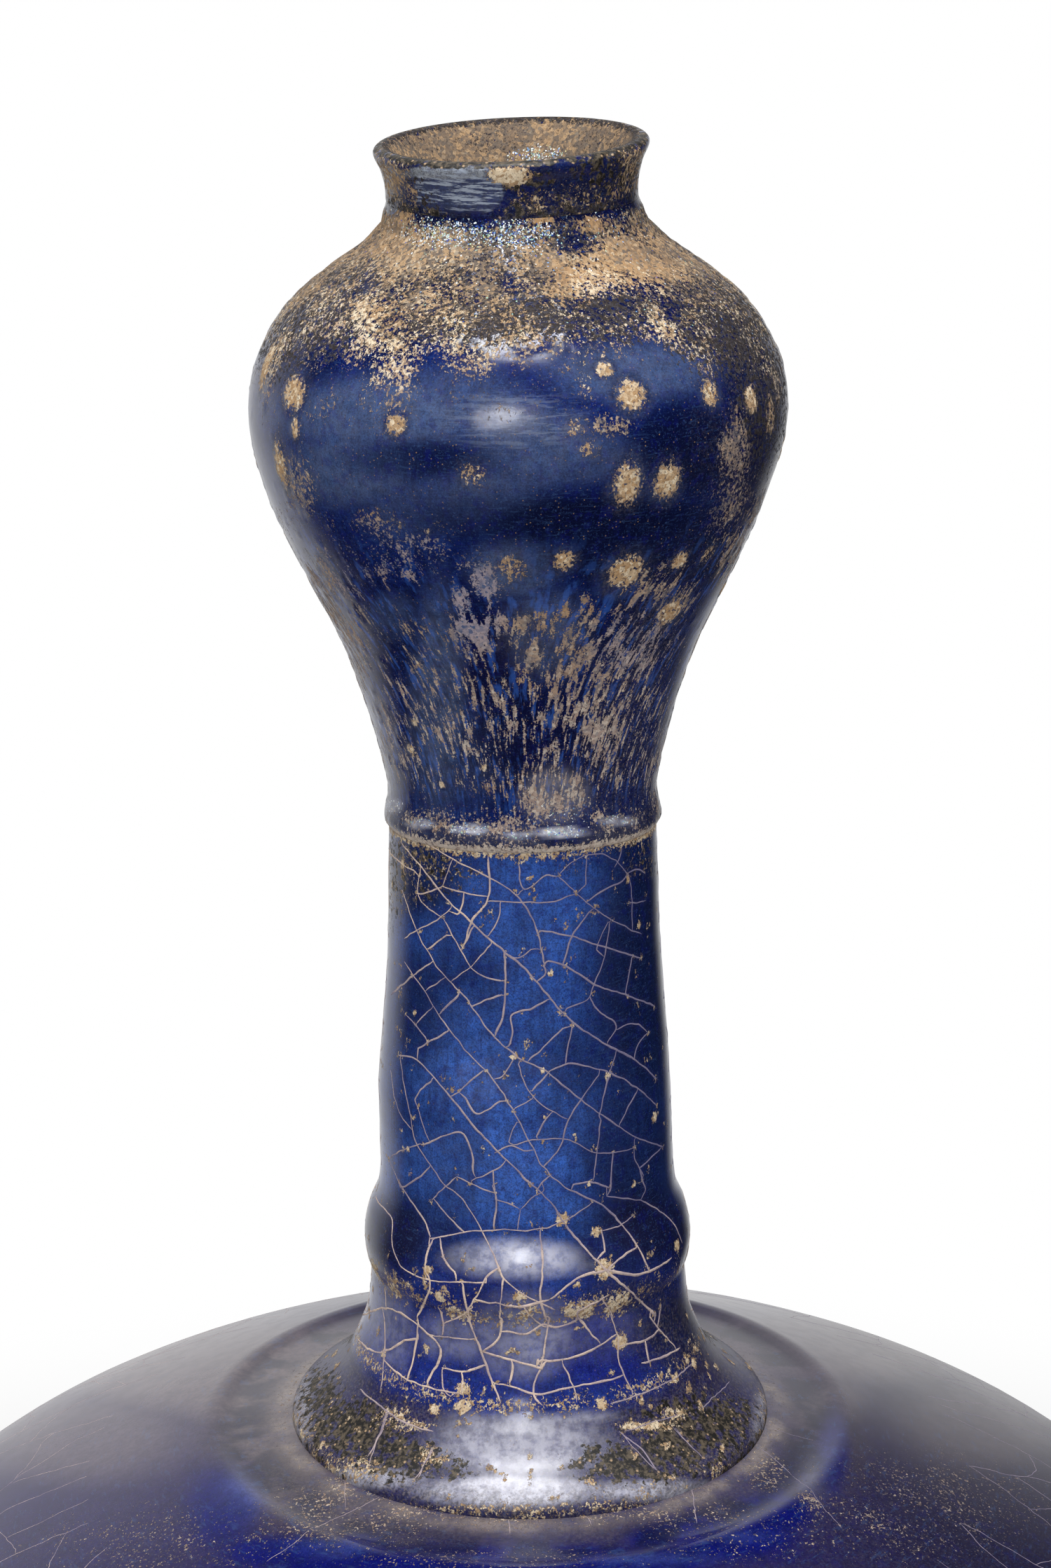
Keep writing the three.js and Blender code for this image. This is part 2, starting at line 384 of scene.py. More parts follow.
DARK_BAND = linear(3, 9, 44)
COBALT = linear(8, 30, 94)
PURE_BLUE = linear(4, 10, 98)
STEEL = linear(54, 82, 126)
PALE_STEEL = linear(146, 156, 172)
NAVY = linear(10, 12, 38)
VIOLET = linear(30, 22, 78)
VIOLET_BLACK = linear(15, 10, 34)
BRIGHT_COBALT = linear(52, 102, 196)
ROYAL = linear(22, 36, 132)
SHOULDER_PURPLE = linear(47, 38, 74)
SHOULDER_GREY = linear(118, 104, 98)
DEEP_VIOLET = linear(19, 14, 60)
BARE_BLUE = linear(26, 48, 98)
BORDER_DUST = linear(150, 136, 124)
STRIP_GREY = linear(152, 158, 164)
RING_SHEEN = linear(84, 104, 176)
# Pale film, and also the colour of the painted highlights, sheen and reflections
FILM_AND_HIGHLIGHT_WHITE = linear(190, 190, 202)
DUST_DARK = linear(30, 28, 34)
DUST_PALE = linear(110, 102, 100)
TAN = linear(158, 132, 102)
CREAM = linear(206, 190, 164)
OCHRE = linear(162, 126, 86)
LILAC_GREY = linear(146, 138, 152)
GREY_BROWN = linear(100, 90, 82)
UMBER = linear(42, 36, 34)
SLATE = linear(64, 61, 66)
SPECK = linear(140, 114, 82)
SOOT = linear(22, 20, 19)
OLIVE = linear(84, 74, 60)
CRACK_PALE = linear(204, 182, 164)
CRACK_DIM = linear(160, 142, 142)
CRACK_FADED = linear(88, 86, 122)
CRACK_HALO = linear(40, 40, 84)
PASTE = linear(172, 148, 116)
PASTE_DARK = linear(120, 98, 74)


def layered(base, *layers):
    """The base colour under one layer after another, each as a colour and its share at every point."""
    for colour, share in layers:
        share = share[:, None]
        base = base * (1 - share) + colour * share
    return base


# Skins: the glazed sides of the coats, with relief and with fields for their wear

CRUST_CELL = 1.4 * MM
PIXEL = 0.0835 * MM
UNROLLED_RADIUS = 25 * MM
STREAK_SQUASH = 0.22
THROWING_DEPTH = 0.16 * MM
LAYING_OFF = 0.02 * MM
RIM_FADE = 0.12
TURNED_AWAY = 0.01
FAR_AWAY = 1e6


def throwing_marks(points, ring_cell):
    """Shallow rings and soft dents that the potter's hand left. They only ever go inward."""
    flattened = points * np.array([0.25, 0.25, 1])
    rings = layered_noise(flattened, ring_cell, 11, 3)
    dents = layered_noise(points, 22 * MM, 23, 2)
    return -LAYING_OFF - THROWING_DEPTH * (0.6 * rings + 0.4 * dents)


class Skin:
    """The outer side of a coat: a grid of points, with rows along its outline and columns round the axis."""

    def __init__(self, node, start_level, columns, spacing, rim=0.0, ring_cell=7 * MM):
        self.node = node
        self.rim = rim
        outline = outer_outline(node, start_level)
        loop = profile_loop(node)
        first = int(np.argmin(np.linalg.norm(loop - outline[0], axis=1)))
        self.inner = np.roll(loop, -first, axis=0)[len(outline) :]
        self.outline = smooth_outline(outline, spacing)
        self.rows = len(self.outline)
        self.columns = columns
        self.true = revolve(self.outline, columns)
        slope = outline_normals(self.outline)
        angles = np.arange(columns) * 2 * math.pi / columns
        sideways = slope[:, 0][:, None]
        self.outward = np.stack(
            [sideways * np.cos(angles), sideways * np.sin(angles), slope[:, 1][:, None] + 0 * angles],
            axis=2,
        ).reshape(-1, 3)
        self.radius = np.hypot(self.true[:, 0], self.true[:, 1])
        self.level = self.true[:, 2]
        self.side = np.arctan2(self.true[:, 0], -self.true[:, 1])
        round_axis = UNROLLED_RADIUS / np.maximum(self.radius, MM)
        self.unrolled = self.true * np.stack([round_axis, round_axis, 1 + 0 * round_axis], axis=1)
        self.relief = throwing_marks(self.true, ring_cell)
        self.fan = np.zeros(len(self.true))
        self.fields = {}
        self.settle()

    def settle(self):
        """Works out where the points stand, and which of them the camera sees."""
        self.points = crook(self.true + self.relief[:, None] * self.outward)
        self.photo = to_photo(self.points)
        self.facing = facing_camera(self.points, self.outward)
        self.seen = smooth_step(self.facing, self.rim, self.rim + RIM_FADE)

    def away_from_ends(self, reach):
        """0 on the coat's first and last rows, and 1 further than the reach from them."""
        along = length_along(self.outline)
        share = smooth_step(np.minimum(along, along[-1] - along), 0, reach)
        return np.repeat(share, self.columns)

    def find(self, x, y):
        """The row and column, with fractions, that a picture coordinate falls on."""
        away = np.hypot(self.photo[:, 0] - x, self.photo[:, 1] - y)
        away += FAR_AWAY * (self.facing < TURNED_AWAY)
        row, column = divmod(int(np.argmin(away)), self.columns)
        grid = self.photo.reshape(self.rows, self.columns, 2)
        row = min(max(row, 1), self.rows - 2)
        right = (column + 1) % self.columns
        upwards = (grid[row + 1, column] - grid[row - 1, column]) / 2
        sideways = (grid[row, right] - grid[row, column - 1]) / 2
        step = np.linalg.lstsq(
            np.stack([upwards, sideways], axis=1), np.array([x, y]) - grid[row, column], rcond=None
        )[0]
        step = np.clip(step, -1.5, 1.5)
        return row + step[0], column + step[1]

    def place(self, rows, columns):
        """Points and outward directions at rows and columns with fractions."""
        rows = np.clip(rows, 0, self.rows - 1.001)
        low = np.floor(rows).astype(int)
        left = np.floor(columns).astype(int)
        up, across = (rows - low)[:, None], (columns - left)[:, None]
        results = []
        for values in (self.points, self.outward):
            grid = values.reshape(self.rows, self.columns, 3)
            near, far = left % self.columns, (left + 1) % self.columns
            below = grid[low, near] * (1 - across) + grid[low, far] * across
            above = grid[low + 1, near] * (1 - across) + grid[low + 1, far] * across
            results.append(below * (1 - up) + above * up)
        return results

    def point_at(self, x, y):
        """The point that a picture coordinate falls on."""
        row, column = self.find(x, y)
        points, _ = self.place(np.array([row]), np.array([column]))
        return points[0]

    def patch(self, x, y, reach_x, reach_y, soft=0.5):
        """A soft-edged ellipse of the picture, on the side that the camera sees."""
        away = np.hypot((self.photo[:, 0] - x) / reach_x, (self.photo[:, 1] - y) / reach_y)
        return (1 - smooth_step(away, 1 - soft, 1 + soft)) * self.seen

    def patches(self, listed):
        """The strongest of several ellipses, each given as x, y, its two reaches and its strength."""
        total = np.zeros(len(self.true))
        for x, y, reach_x, reach_y, strength in listed:
            total = strongest(total, strength * self.patch(x, y, reach_x, reach_y))
        return total

    def drawn(self):
        """Coordinates for streaks, drawn out along the outline and fanned out from the front's foot."""
        turn = self.side - self.fan * np.sin(self.side)
        return np.stack([
            UNROLLED_RADIUS * np.sin(turn), -UNROLLED_RADIUS * np.cos(turn), STREAK_SQUASH * self.level,
        ], axis=1)

    def noise(self, cell, seed, layers=4, stretch=(1, 1, 1), unrolled=False):
        """Noise at the points. A stretch under 1 draws it out that way."""
        points = self.unrolled if unrolled else self.true
        return layered_noise(points * np.array(stretch), cell, seed, layers)


def spot_fields(skin, listed):
    """How strongly crusty spots, their halos and the dark rings between cover the skin.

    A spot is its middle, its reach and its height over its width.
    """
    core, halo, ring = np.zeros((3, len(skin.true)))
    for middle, reach, height in listed:
        away = skin.points - middle
        away[:, 2] /= height
        distance = np.linalg.norm(away, axis=1) / reach
        core = strongest(core, 1 - smooth_step(distance, 0.6, 1.6))
        halo = strongest(halo, 1 - smooth_step(distance, 0.9, 2.4))
        ring = strongest(ring, bell(distance, 1.4, 0.3))
    return core, halo, ring


def spots(skin, listed):
    """The fields of spots that are given as x, y and radius in pixels, and height over width."""
    found = [(skin.point_at(x, y), radius * PIXEL, height) for x, y, radius, height in listed]
    return spot_fields(skin, found)


def hidden_spots(skin, count, low, high, seed):
    """The fields of seeded spots on the sides that the camera does not see."""
    random = np.random.default_rng(seed)
    found = []
    for side, level, size in random.random((count, 3)):
        turn = math.pi * (0.42 + 1.16 * side)
        wanted = low + (high - low) * level
        spun = np.cos(skin.side - turn)
        nearest = int(np.argmin(np.abs(skin.level - wanted) / MM - 20 * spun))
        found.append((skin.points[nearest], (0.9 + 1.4 * size**2) * MM, 1))
    return spot_fields(skin, found)


def level_by_side(skin, listed, seed, sway):
    """A level for each side, through listed picture points in front and wandering behind."""
    places = np.array([skin.point_at(x, y) for x, y in listed])
    sides = np.arctan2(places[:, 0], -places[:, 1])
    order = np.argsort(sides)
    sides, levels = sides[order], places[order, 2]
    front = np.interp(skin.side, sides, levels)
    behind = levels.mean() + sway * (layered_noise(circle(skin.side) * 20 * MM, 9 * MM, seed, 3) - 0.5)
    unseen = smooth_step(np.abs(skin.side), min(-sides[0], sides[-1]), 2.1)
    return front * (1 - unseen) + behind * unseen


# The bulb, painted from its seen side
# Spots are x, y, radius and height over width, in pixels. Patches are x, y, two reaches and a strength.

CRUST_EDGE = (
    (371, 494), (391, 504), (432, 504), (467, 545), (508, 530), (544, 555), (585, 535), (626, 520),
    (666, 545), (692, 555), (717, 499), (748, 520), (774, 504), (830, 525), (850, 484), (901, 484),
    (937, 494), (967, 510), (1003, 499), (1054, 499), (1095, 504),
)
BULB_SPOTS = (
    (419, 562, 22, 1), (422, 610, 8, 1.7), (401, 665, 15, 2), (566, 606, 13, 1), (863, 527, 11, 1),
    (901, 563, 19, 1), (1013, 561, 13, 1.2), (1072, 571, 15, 1.2), (896, 691, 18, 1.55),
    (952, 687, 19, 1.25), (805, 800, 14, 1), (893, 816, 25, 1), (970, 800, 13, 1), (381, 520, 15, 2.6),
    (957, 873, 22, 0.9), (592, 1031, 6, 1), (587, 1070, 7, 1.3), (598, 947, 4, 1), (571, 747, 3, 1),
    (632, 1120, 5, 1), (690, 1095, 5, 1), (611, 760, 3, 1),
)
FAINT_SPOTS = (
    (673, 678, 15, 1), (467, 823, 18, 2.4), (1100, 594, 16, 2), (735, 813, 17, 1), (838, 641, 10, 1),
    (1010, 792, 14, 1), (726, 806, 14, 1), (823, 610, 12, 0.8),
)
# Pale patches of the glaze; around the middle of the bulb's front they are a painted sheen
LIGHT_ON_BULB = (
    (905, 530, 110, 40, 0.7), (540, 590, 150, 50, 0.75), (500, 668, 90, 50, 0.7), (760, 640, 95, 55, 0.6),
    (690, 700, 80, 50, 0.5), (830, 650, 80, 35, 0.5), (590, 715, 80, 50, 0.35), (735, 810, 60, 40, 0.7),
    (780, 905, 60, 60, 0.6), (625, 1000, 36, 150, 0.75), (650, 1080, 70, 70, 0.3), (640, 580, 110, 50, 0.5),
    (560, 880, 34, 30, 0.6),
)
# Dark patches of the glaze; the tall one at the bulb's right edge is painted shade
DARK_ON_BULB = (
    (850, 745, 200, 42, 1), (985, 640, 90, 70, 1), (605, 655, 110, 28, 0.8), (420, 520, 60, 40, 0.7),
    (930, 790, 170, 50, 0.9), (705, 962, 30, 60, 1), (740, 1050, 60, 60, 0.9), (560, 900, 40, 60, 0.5),
    (680, 740, 90, 26, 0.6), (1080, 560, 50, 190, 1), (830, 1060, 60, 60, 0.6), (900, 900, 60, 50, 0.6),
)
VIOLET_ON_BULB = (
    (470, 880, 70, 110, 0.7), (520, 960, 40, 120, 0.7), (700, 950, 90, 100, 0.8), (1080, 700, 50, 170, 0.5),
    (760, 1060, 120, 70, 0.8), (560, 1090, 60, 80, 0.5),
)
FLAKES_ON_LOWER_BULB = (
    (580, 785, 60, 45, 0.26), (680, 862, 36, 66, 0.6), (515, 800, 50, 44, 0.24), (828, 905, 40, 50, 0.42),
    (832, 1010, 56, 90, 0.52), (905, 915, 60, 60, 0.38), (740, 1060, 90, 80, 0.3),
    (880, 1040, 70, 130, 0.34), (745, 1010, 30, 80, 0.36), (655, 1000, 50, 95, 0.3),
    (590, 1020, 60, 130, 0.24), (792, 1136, 48, 42, 0.52), (910, 1130, 50, 60, 0.3),
    (690, 1165, 150, 18, 0.26), (470, 850, 40, 90, 0.36), (540, 755, 34, 30, 0.3), (500, 930, 30, 80, 0.3),
    (1049, 645, 22, 60, 0.42), (865, 606, 34, 16, 0.5), (1060, 760, 50, 80, 0.34), (840, 640, 18, 12, 0.4),
    (1080, 480, 50, 60, 0.2), (715, 590, 26, 14, 0.2), (700, 900, 50, 30, 0.36), (940, 850, 50, 50, 0.3),
    (768, 888, 36, 17, 0.6), (760, 930, 13, 36, 0.6), (430, 700, 20, 60, 0.32), (400, 780, 16, 50, 0.36),
)
COOL_FLAKES = (
    (680, 862, 44, 76, 1), (520, 800, 70, 60, 0.8), (905, 915, 70, 60, 0.7), (600, 800, 60, 50, 0.8),
)
CLUMPS = ((772, 310, 22, 12, 1), (845, 318, 16, 10, 0.9), (575, 312, 16, 14, 0.8), (640, 300, 10, 6, 0.6))
# Painted highlights on the ridge above the joint, and painted sheen on the bulb's front and lower middle
HIGHLIGHTS_ON_BULB = (
    (672, 1184, 26, 6, 1.3), (800, 1188, 34, 7, 1.2), (740, 1192, 22, 4, 0.9), (600, 1176, 20, 6, 0.8),
    (880, 1172, 26, 6, 0.8), (792, 1136, 44, 36, 0.3), (700, 597, 26, 16, 0.3), (560, 1150, 14, 10, 0.5),
)
DUST_ON_BULB = (
    (900, 1070, 60, 150, 0.9), (940, 1000, 60, 180, 0.9), (870, 1140, 80, 60, 0.6),
    (1060, 640, 70, 160, 0.45), (440, 840, 50, 80, 0.6), (500, 960, 30, 140, 0.5),
    (1010, 860, 60, 100, 0.6), (765, 905, 60, 50, 0.4), (380, 560, 40, 100, 0.3), (540, 1130, 40, 60, 0.4),
)
GRIME_ON_BULB = (
    (740, 452, 130, 34, 0.9), (1040, 470, 110, 120, 0.85), (1070, 620, 70, 150, 0.8),
    (560, 440, 80, 26, 0.5), (430, 450, 70, 60, 0.6), (980, 1020, 70, 150, 0.5),
)
BROWN_GROUND = (
    (700, 455, 170, 36, 0.95), (870, 450, 90, 40, 0.8), (1040, 450, 90, 80, 0.95),
    (620, 440, 120, 26, 0.75), (460, 450, 80, 60, 0.8), (1090, 540, 40, 120, 0.7), (760, 350, 160, 36, 0.5),
    (400, 480, 40, 60, 0.7),
)
OCHRE_ON_BULB = (
    (556, 452, 26, 16, 0.9), (772, 312, 26, 14, 1), (845, 318, 24, 14, 1), (590, 316, 18, 12, 0.8),
    (880, 385, 90, 36, 0.7), (545, 330, 60, 40, 0.4), (810, 392, 22, 14, 0.9), (905, 350, 40, 30, 0.5),
)
BARE_IN_CRUST = (
    (820, 345, 40, 18, 0.45), (712, 362, 36, 18, 0.3), (880, 322, 34, 18, 0.3), (870, 455, 60, 30, 0.25),
    (700, 395, 40, 12, 0.2), (640, 480, 60, 20, 0.15), (730, 450, 140, 26, 0.15), (450, 470, 60, 36, 0.1),
    (1040, 460, 90, 70, 0.3), (970, 400, 60, 50, 0.1),
)
THICK_CRUST = (
    (880, 385, 100, 36, 0.3), (590, 350, 100, 40, 0.2), (690, 330, 60, 20, 0.1), (560, 530, 40, 16, 0.08),
    (682, 528, 20, 20, 0.12), (950, 480, 20, 20, 0.2), (772, 312, 24, 14, 0.4), (845, 316, 22, 14, 0.4),
    (540, 320, 40, 20, 0.3),
)

# Crust by its height over the crust's edge, and streaks by level: millimetres, and how much they cover
CRUST_DEPTHS = (-7, -4, -1.5, 1, 3, 6, 11, 18, 30)
CRUST_COVERS = (0.0, 0.1, 0.26, 0.38, 0.4, 0.48, 0.66, 0.78, 0.85)
STREAK_LEVELS = (222, 226, 236, 246, 256, 262)
STREAK_COVERS = (0.34, 0.36, 0.38, 0.32, 0.18, 0.06)

# Levels between which the lower bulb ends, the streaks begin and end, and their fan opens
LOWER_BULB_END = (232 * MM, 252 * MM)
STREAKS_BEGIN = (219 * MM, 226 * MM)
STREAKS_END = (250 * MM, 264 * MM)
FAN_LEVELS = (222 * MM, 264 * MM)
FAN_SPREAD = 0.5
SCRATCHED_GLINT_ON_BULB = (735, 600, 90, 40)
BACK_SPOT_COUNT = 34
BACK_SPOT_LEVELS = (WAIST_LEVEL - 62 * MM, WAIST_LEVEL - 24 * MM)


def paint_bulb(skin):
    """Crust on the upper half, flakes and spots below it, and streaks behind."""
    wear = skin.fields
    hidden = 1 - skin.seen
    clusters = skin.noise(3.6 * MM, 41, 4)
    hanging = skin.noise(5 * MM, 51, 3, (1, 1, 0.45))
    mottled = skin.noise(11 * MM, 91, 3)
    above = (skin.level - level_by_side(skin, CRUST_EDGE, 31, 12 * MM)) / MM + 7 * (hanging - 0.5)
    on_upper = smooth_step(above, -2, 5)
    low = 1 - smooth_step(skin.level, *LOWER_BULB_END)
    navy_band = bell(skin.level, WAIST_LEVEL, 1.3 * MM)
    under_mouth = bell(skin.level, WAIST_LEVEL - 2.2 * MM, 1.4 * MM)
    in_front = smooth_step(np.cos(skin.side + 0.3), 0.75, 0.97)
    bare = skin.patches(BARE_IN_CRUST)
    painted_highlights = skin.patches(HIGHLIGHTS_ON_BULB)
    core, halo, ring = spots(skin, BULB_SPOTS)
    faint, faint_halo, _ = spots(skin, FAINT_SPOTS)
    back_core, back_halo, _ = hidden_spots(skin, BACK_SPOT_COUNT, *BACK_SPOT_LEVELS, 71)
    core = strongest(core, 0.55 * faint, back_core)
    halo = strongest(halo, 0.8 * faint_halo, back_halo)

    # Crust, and the bare dark ground around it
    upper = np.interp(above, CRUST_DEPTHS, CRUST_COVERS)
    upper = upper + (clusters - 0.5) * 0.62 * smooth_step(upper, 0, 0.2)
    upper = upper - bare + skin.patches(THICK_CRUST)
    streaky = skin.noise(7 * MM, 61, 3, (1, 1, 0.35), unrolled=True)
    behind = np.interp(skin.level / MM, STREAK_LEVELS, STREAK_COVERS) * (0.3 + 1.3 * streaky)
    lower = skin.patches(FLAKES_ON_LOWER_BULB) * (0.35 + 1.45 * clusters)
    crease = bell(skin.level, JOINT_LEVEL + 0.2 * MM, 0.85 * MM) * (0.8 + 0.5 * clusters)
    beads = bell(skin.level, JOINT_LEVEL + 3.4 * MM, 2 * MM) * 0.6 * smooth_step(clusters, 0.5, 0.8)
    beads = beads * (1 - smooth_step(painted_highlights, 0.2, 0.6))
    crust = strongest(upper, lower, behind * hidden, core * 0.9, crease, beads)
    crust = crust * (1 - 0.9 * navy_band) - 0.35 * under_mouth * in_front
    wear["crust"] = np.clip(strongest(crust, skin.patches(CLUMPS)), 0, 1)
    wear["streak"] = (1 - smooth_step(skin.level, *STREAKS_END)) * (1 - core)
    wear["streak"] *= smooth_step(skin.level, *STREAKS_BEGIN)
    brown_edge = smooth_step(above, 0, 4) * (1 - smooth_step(above, 8, 14))
    brown = strongest(skin.patches(BROWN_GROUND), hidden * brown_edge)
    wear["ground"] = strongest(brown, (0.9 - bare) * smooth_step(above, 4, 9)) * (1 - navy_band)

    # Colours of the glaze, with painted sheen in pale patches at the front and painted shade at the right
    # edge
    bands = skin.noise(9 * MM, 81, 3, (0.4, 0.4, 1))
    light = strongest(skin.patches(LIGHT_ON_BULB), 0.6 * halo, 0.7 * smooth_step(bands, 0.5, 0.75) * hidden)
    dark = strongest(skin.patches(DARK_ON_BULB), smooth_step(bands, 0.45, 0.2) * hidden, 0.7 * ring)
    violet = strongest(skin.patches(VIOLET_ON_BULB), 0.7 * low * hidden)
    on_ridge = 1 - smooth_step(skin.level, JOINT_LEVEL + 1.5 * MM, JOINT_LEVEL + 5 * MM)
    wear["tint"] = layered(
        COBALT,
        (DARK_BAND, dark),
        (DEEP_VIOLET, violet * 0.8),
        (STEEL, light * (1 - 0.85 * dark)),
        (NAVY, strongest(0.75 * on_upper, navy_band)),
        (NAVY, 0.7 * on_ridge),
    )

    # Film with painted highlights and sheen, dust, the tone of the crust, and shine
    # Film over the pale patches, with painted highlights mottled along the ridge and laid on at the listed
    # patches
    wear["film_and_sheen"] = strongest(0.1 * light * (1 - dark), 0.1 * on_ridge * clusters, painted_highlights)
    dust_behind = hidden * (0.25 + 0.5 * low) * smooth_step(mottled, 0.3, 0.7)
    wear["dust"] = strongest(0.36 * skin.patches(DUST_ON_BULB), 0.4 * halo, dust_behind)
    wear["grime"] = strongest(skin.patches(GRIME_ON_BULB), 0.8 * smooth_step(mottled, 0.5, 0.8) * hidden)
    warm = 0.5 + 0.5 * (skin.noise(8 * MM, 101, 3) - 0.5)
    pale_edge = smooth_step(above, -4, 0) * (1 - smooth_step(above, 3, 10))
    pale = strongest(0.8 * core, crease, pale_edge)
    wear["tone"] = warm * 0.5 + 0.5 * pale + 0.35 * low + 0.45 * crease
    # Pale scratches where the lamp's highlight falls on the bulb: wear, and partly a painted glint
    wear["brushed"] = 0.2 * skin.patch(*SCRATCHED_GLINT_ON_BULB)
    wear["cool"] = strongest(skin.patches(COOL_FLAKES), 0.25 + 0.25 * low) * (1 - on_upper) * (1 - core)
    ochre = strongest(0.7 * skin.patches(OCHRE_ON_BULB), 0.5 * core)
    wear["ochre"] = strongest(ochre, smooth_step(mottled, 0.72, 0.9) * 0.5)
    on_joint = 1 - smooth_step(skin.level, JOINT_LEVEL + 4 * MM, JOINT_LEVEL + 7 * MM)
    wear["sparkle"] = under_mouth * (0.03 + 0.6 * in_front) + 0.02 * on_upper * clusters
    # Painted glints where the joint's ridge has painted highlights
    wear["sparkle"] += 0.3 * on_joint * painted_highlights
    wear["specks"] = 0.45 + 0.3 * dark
    grain = skin.noise(CRUST_CELL, 111, 3)
    raised = smooth_step(wear["crust"] + grain - 0.5, 0.3, 0.8)
    skin.relief += skin.away_from_ends(1.5 * MM) * raised * 0.11 * MM
    skin.fan = FAN_SPREAD * smooth_step(skin.level, *FAN_LEVELS)


# The neck: its tube, the ring low on it, its flaring foot and the collar it is luted on with

# Bright places of the clouded glaze, and painted light down the middle of the tube
BRIGHT_ON_NECK = (
    (735, 1262, 120, 40, 0.6), (760, 1330, 90, 90, 0.7), (755, 1440, 80, 90, 0.6),
    (695, 1540, 110, 70, 1.2), (690, 1655, 140, 60, 1.1), (660, 1470, 50, 60, 0.7),
    (830, 1290, 70, 60, 0.6), (735, 1720, 120, 30, 0.9), (780, 1600, 90, 60, 0.7), (640, 1330, 60, 50, 0.5),
)
# Dark places of the glaze, and painted shade down the tube's sides
DARK_ON_NECK = (
    (600, 1250, 60, 60, 0.9), (600, 1450, 40, 90, 0.7), (915, 1380, 70, 230, 1), (690, 1390, 40, 40, 0.5),
    (575, 1560, 26, 160, 0.4), (900, 1640, 70, 110, 0.8), (700, 1490, 90, 24, 0.35),
    (830, 1520, 70, 60, 0.6), (640, 1400, 26, 90, 0.5),
)
# Painted shade on the left and right of the ring, where the camera sees it
TORUS_SHADED_SIDES = (
    (560, 1765, 60, 55, 1), (930, 1755, 90, 55, 1), (870, 1790, 60, 36, 0.8), (620, 1770, 40, 40, 0.6),
)
ROYAL_ON_FOOT = ((600, 1930, 100, 90, 0.8), (860, 1920, 110, 80, 1), (735, 1960, 120, 60, 0.8))
# Painted sheen and highlights: on the ring's upper side, across the foot and faintly on the tube
SHEEN_ON_FOOT = (
    (660, 1905, 60, 34, 0.36), (735, 1797, 84, 26, 0.95), (745, 1905, 70, 56, 0.46),
    (560, 1900, 30, 60, 0.3), (800, 1805, 50, 16, 0.3), (850, 1900, 60, 40, 0.15), (690, 1545, 50, 40, 0.1),
)
FOOT_SHADE = ((975, 1900, 70, 60, 1), (1000, 1960, 50, 50, 0.8), (905, 1850, 60, 26, 0.7))
FOOT_BLOTS = (
    (862, 1812, 14, 1), (803, 1740, 10, 1), (885, 1915, 12, 1), (661, 1983, 10, 1), (608, 1925, 6, 1),
    (850, 1758, 7, 1), (620, 2012, 9, 1), (858, 2004, 10, 0.8), (966, 1778, 9, 1), (990, 1945, 8, 1),
    (548, 1931, 6, 1), (740, 1850, 9, 0.8), (628, 1850, 9, 1), (610, 1812, 8, 1), (660, 2008, 12, 0.8),
    (963, 1968, 8, 1),
)
NECK_DOTS = (
    (734, 1508, 5, 1), (775, 1528, 4, 1), (786, 1390, 4, 1), (868, 1535, 5, 1), (934, 1595, 7, 1),
    (575, 1233, 5, 1), (560, 1262, 4, 1), (640, 1290, 3, 1), (600, 1330, 3, 1), (690, 1640, 3, 1),
    (820, 1620, 3, 1), (905, 1690, 4, 1), (592, 1445, 4, 1), (583, 1640, 4, 1), (700, 1300, 3, 1),
    (912, 1320, 5, 1), (896, 1255, 4, 1), (757, 1252, 4, 1), (840, 1690, 4, 1),
)
DIRT_ON_NECK_TOP = (
    (600, 1225, 50, 60, 0.8), (560, 1240, 26, 80, 0.7), (640, 1250, 40, 30, 0.5), (915, 1225, 24, 30, 0.5),
)
SOOT_ON_COLLAR = (
    (500, 2050, 80, 55, 1), (560, 2085, 80, 34, 1), (1010, 2055, 110, 60, 1), (920, 2088, 100, 32, 1),
    (640, 2095, 40, 18, 0.6), (450, 2000, 40, 50, 0.9),
)
# Pale film on the collar, and the painted highlight along its rounded edge
FILM_AND_HIGHLIGHTS_ON_COLLAR = (
    (740, 2060, 110, 46, 0.75), (725, 2128, 110, 20, 1.2), (425, 2010, 18, 70, 0.7),
    (1098, 2040, 22, 60, 0.6), (760, 2020, 100, 14, 0.8), (520, 2110, 80, 14, 0.8),
    (950, 2128, 120, 14, 0.8),
)
BEIGE_ON_COLLAR = (
    (590, 2035, 34, 9, 0.6), (560, 2020, 20, 14, 0.5), (925, 2035, 40, 7, 0.8), (960, 2018, 20, 10, 0.7),
    (610, 2080, 12, 20, 0.6), (700, 2155, 140, 8, 0.5), (880, 2150, 60, 9, 0.5), (505, 2095, 40, 16, 0.45),
)

# Levels on the neck, in millimetres: its top, its ring, the hollow under that, the collar's ends,
# and where the foot passes into the tube and the collar into the foot
NECK_TOP = 217
TORUS = 163
HOLLOW = 158.6
COLLAR_TOP = 146.8
COLLAR_FOOT = 137
FOOT_TO_TUBE = (160, 168)
COLLAR_TO_FOOT = (144.5, 146.5)


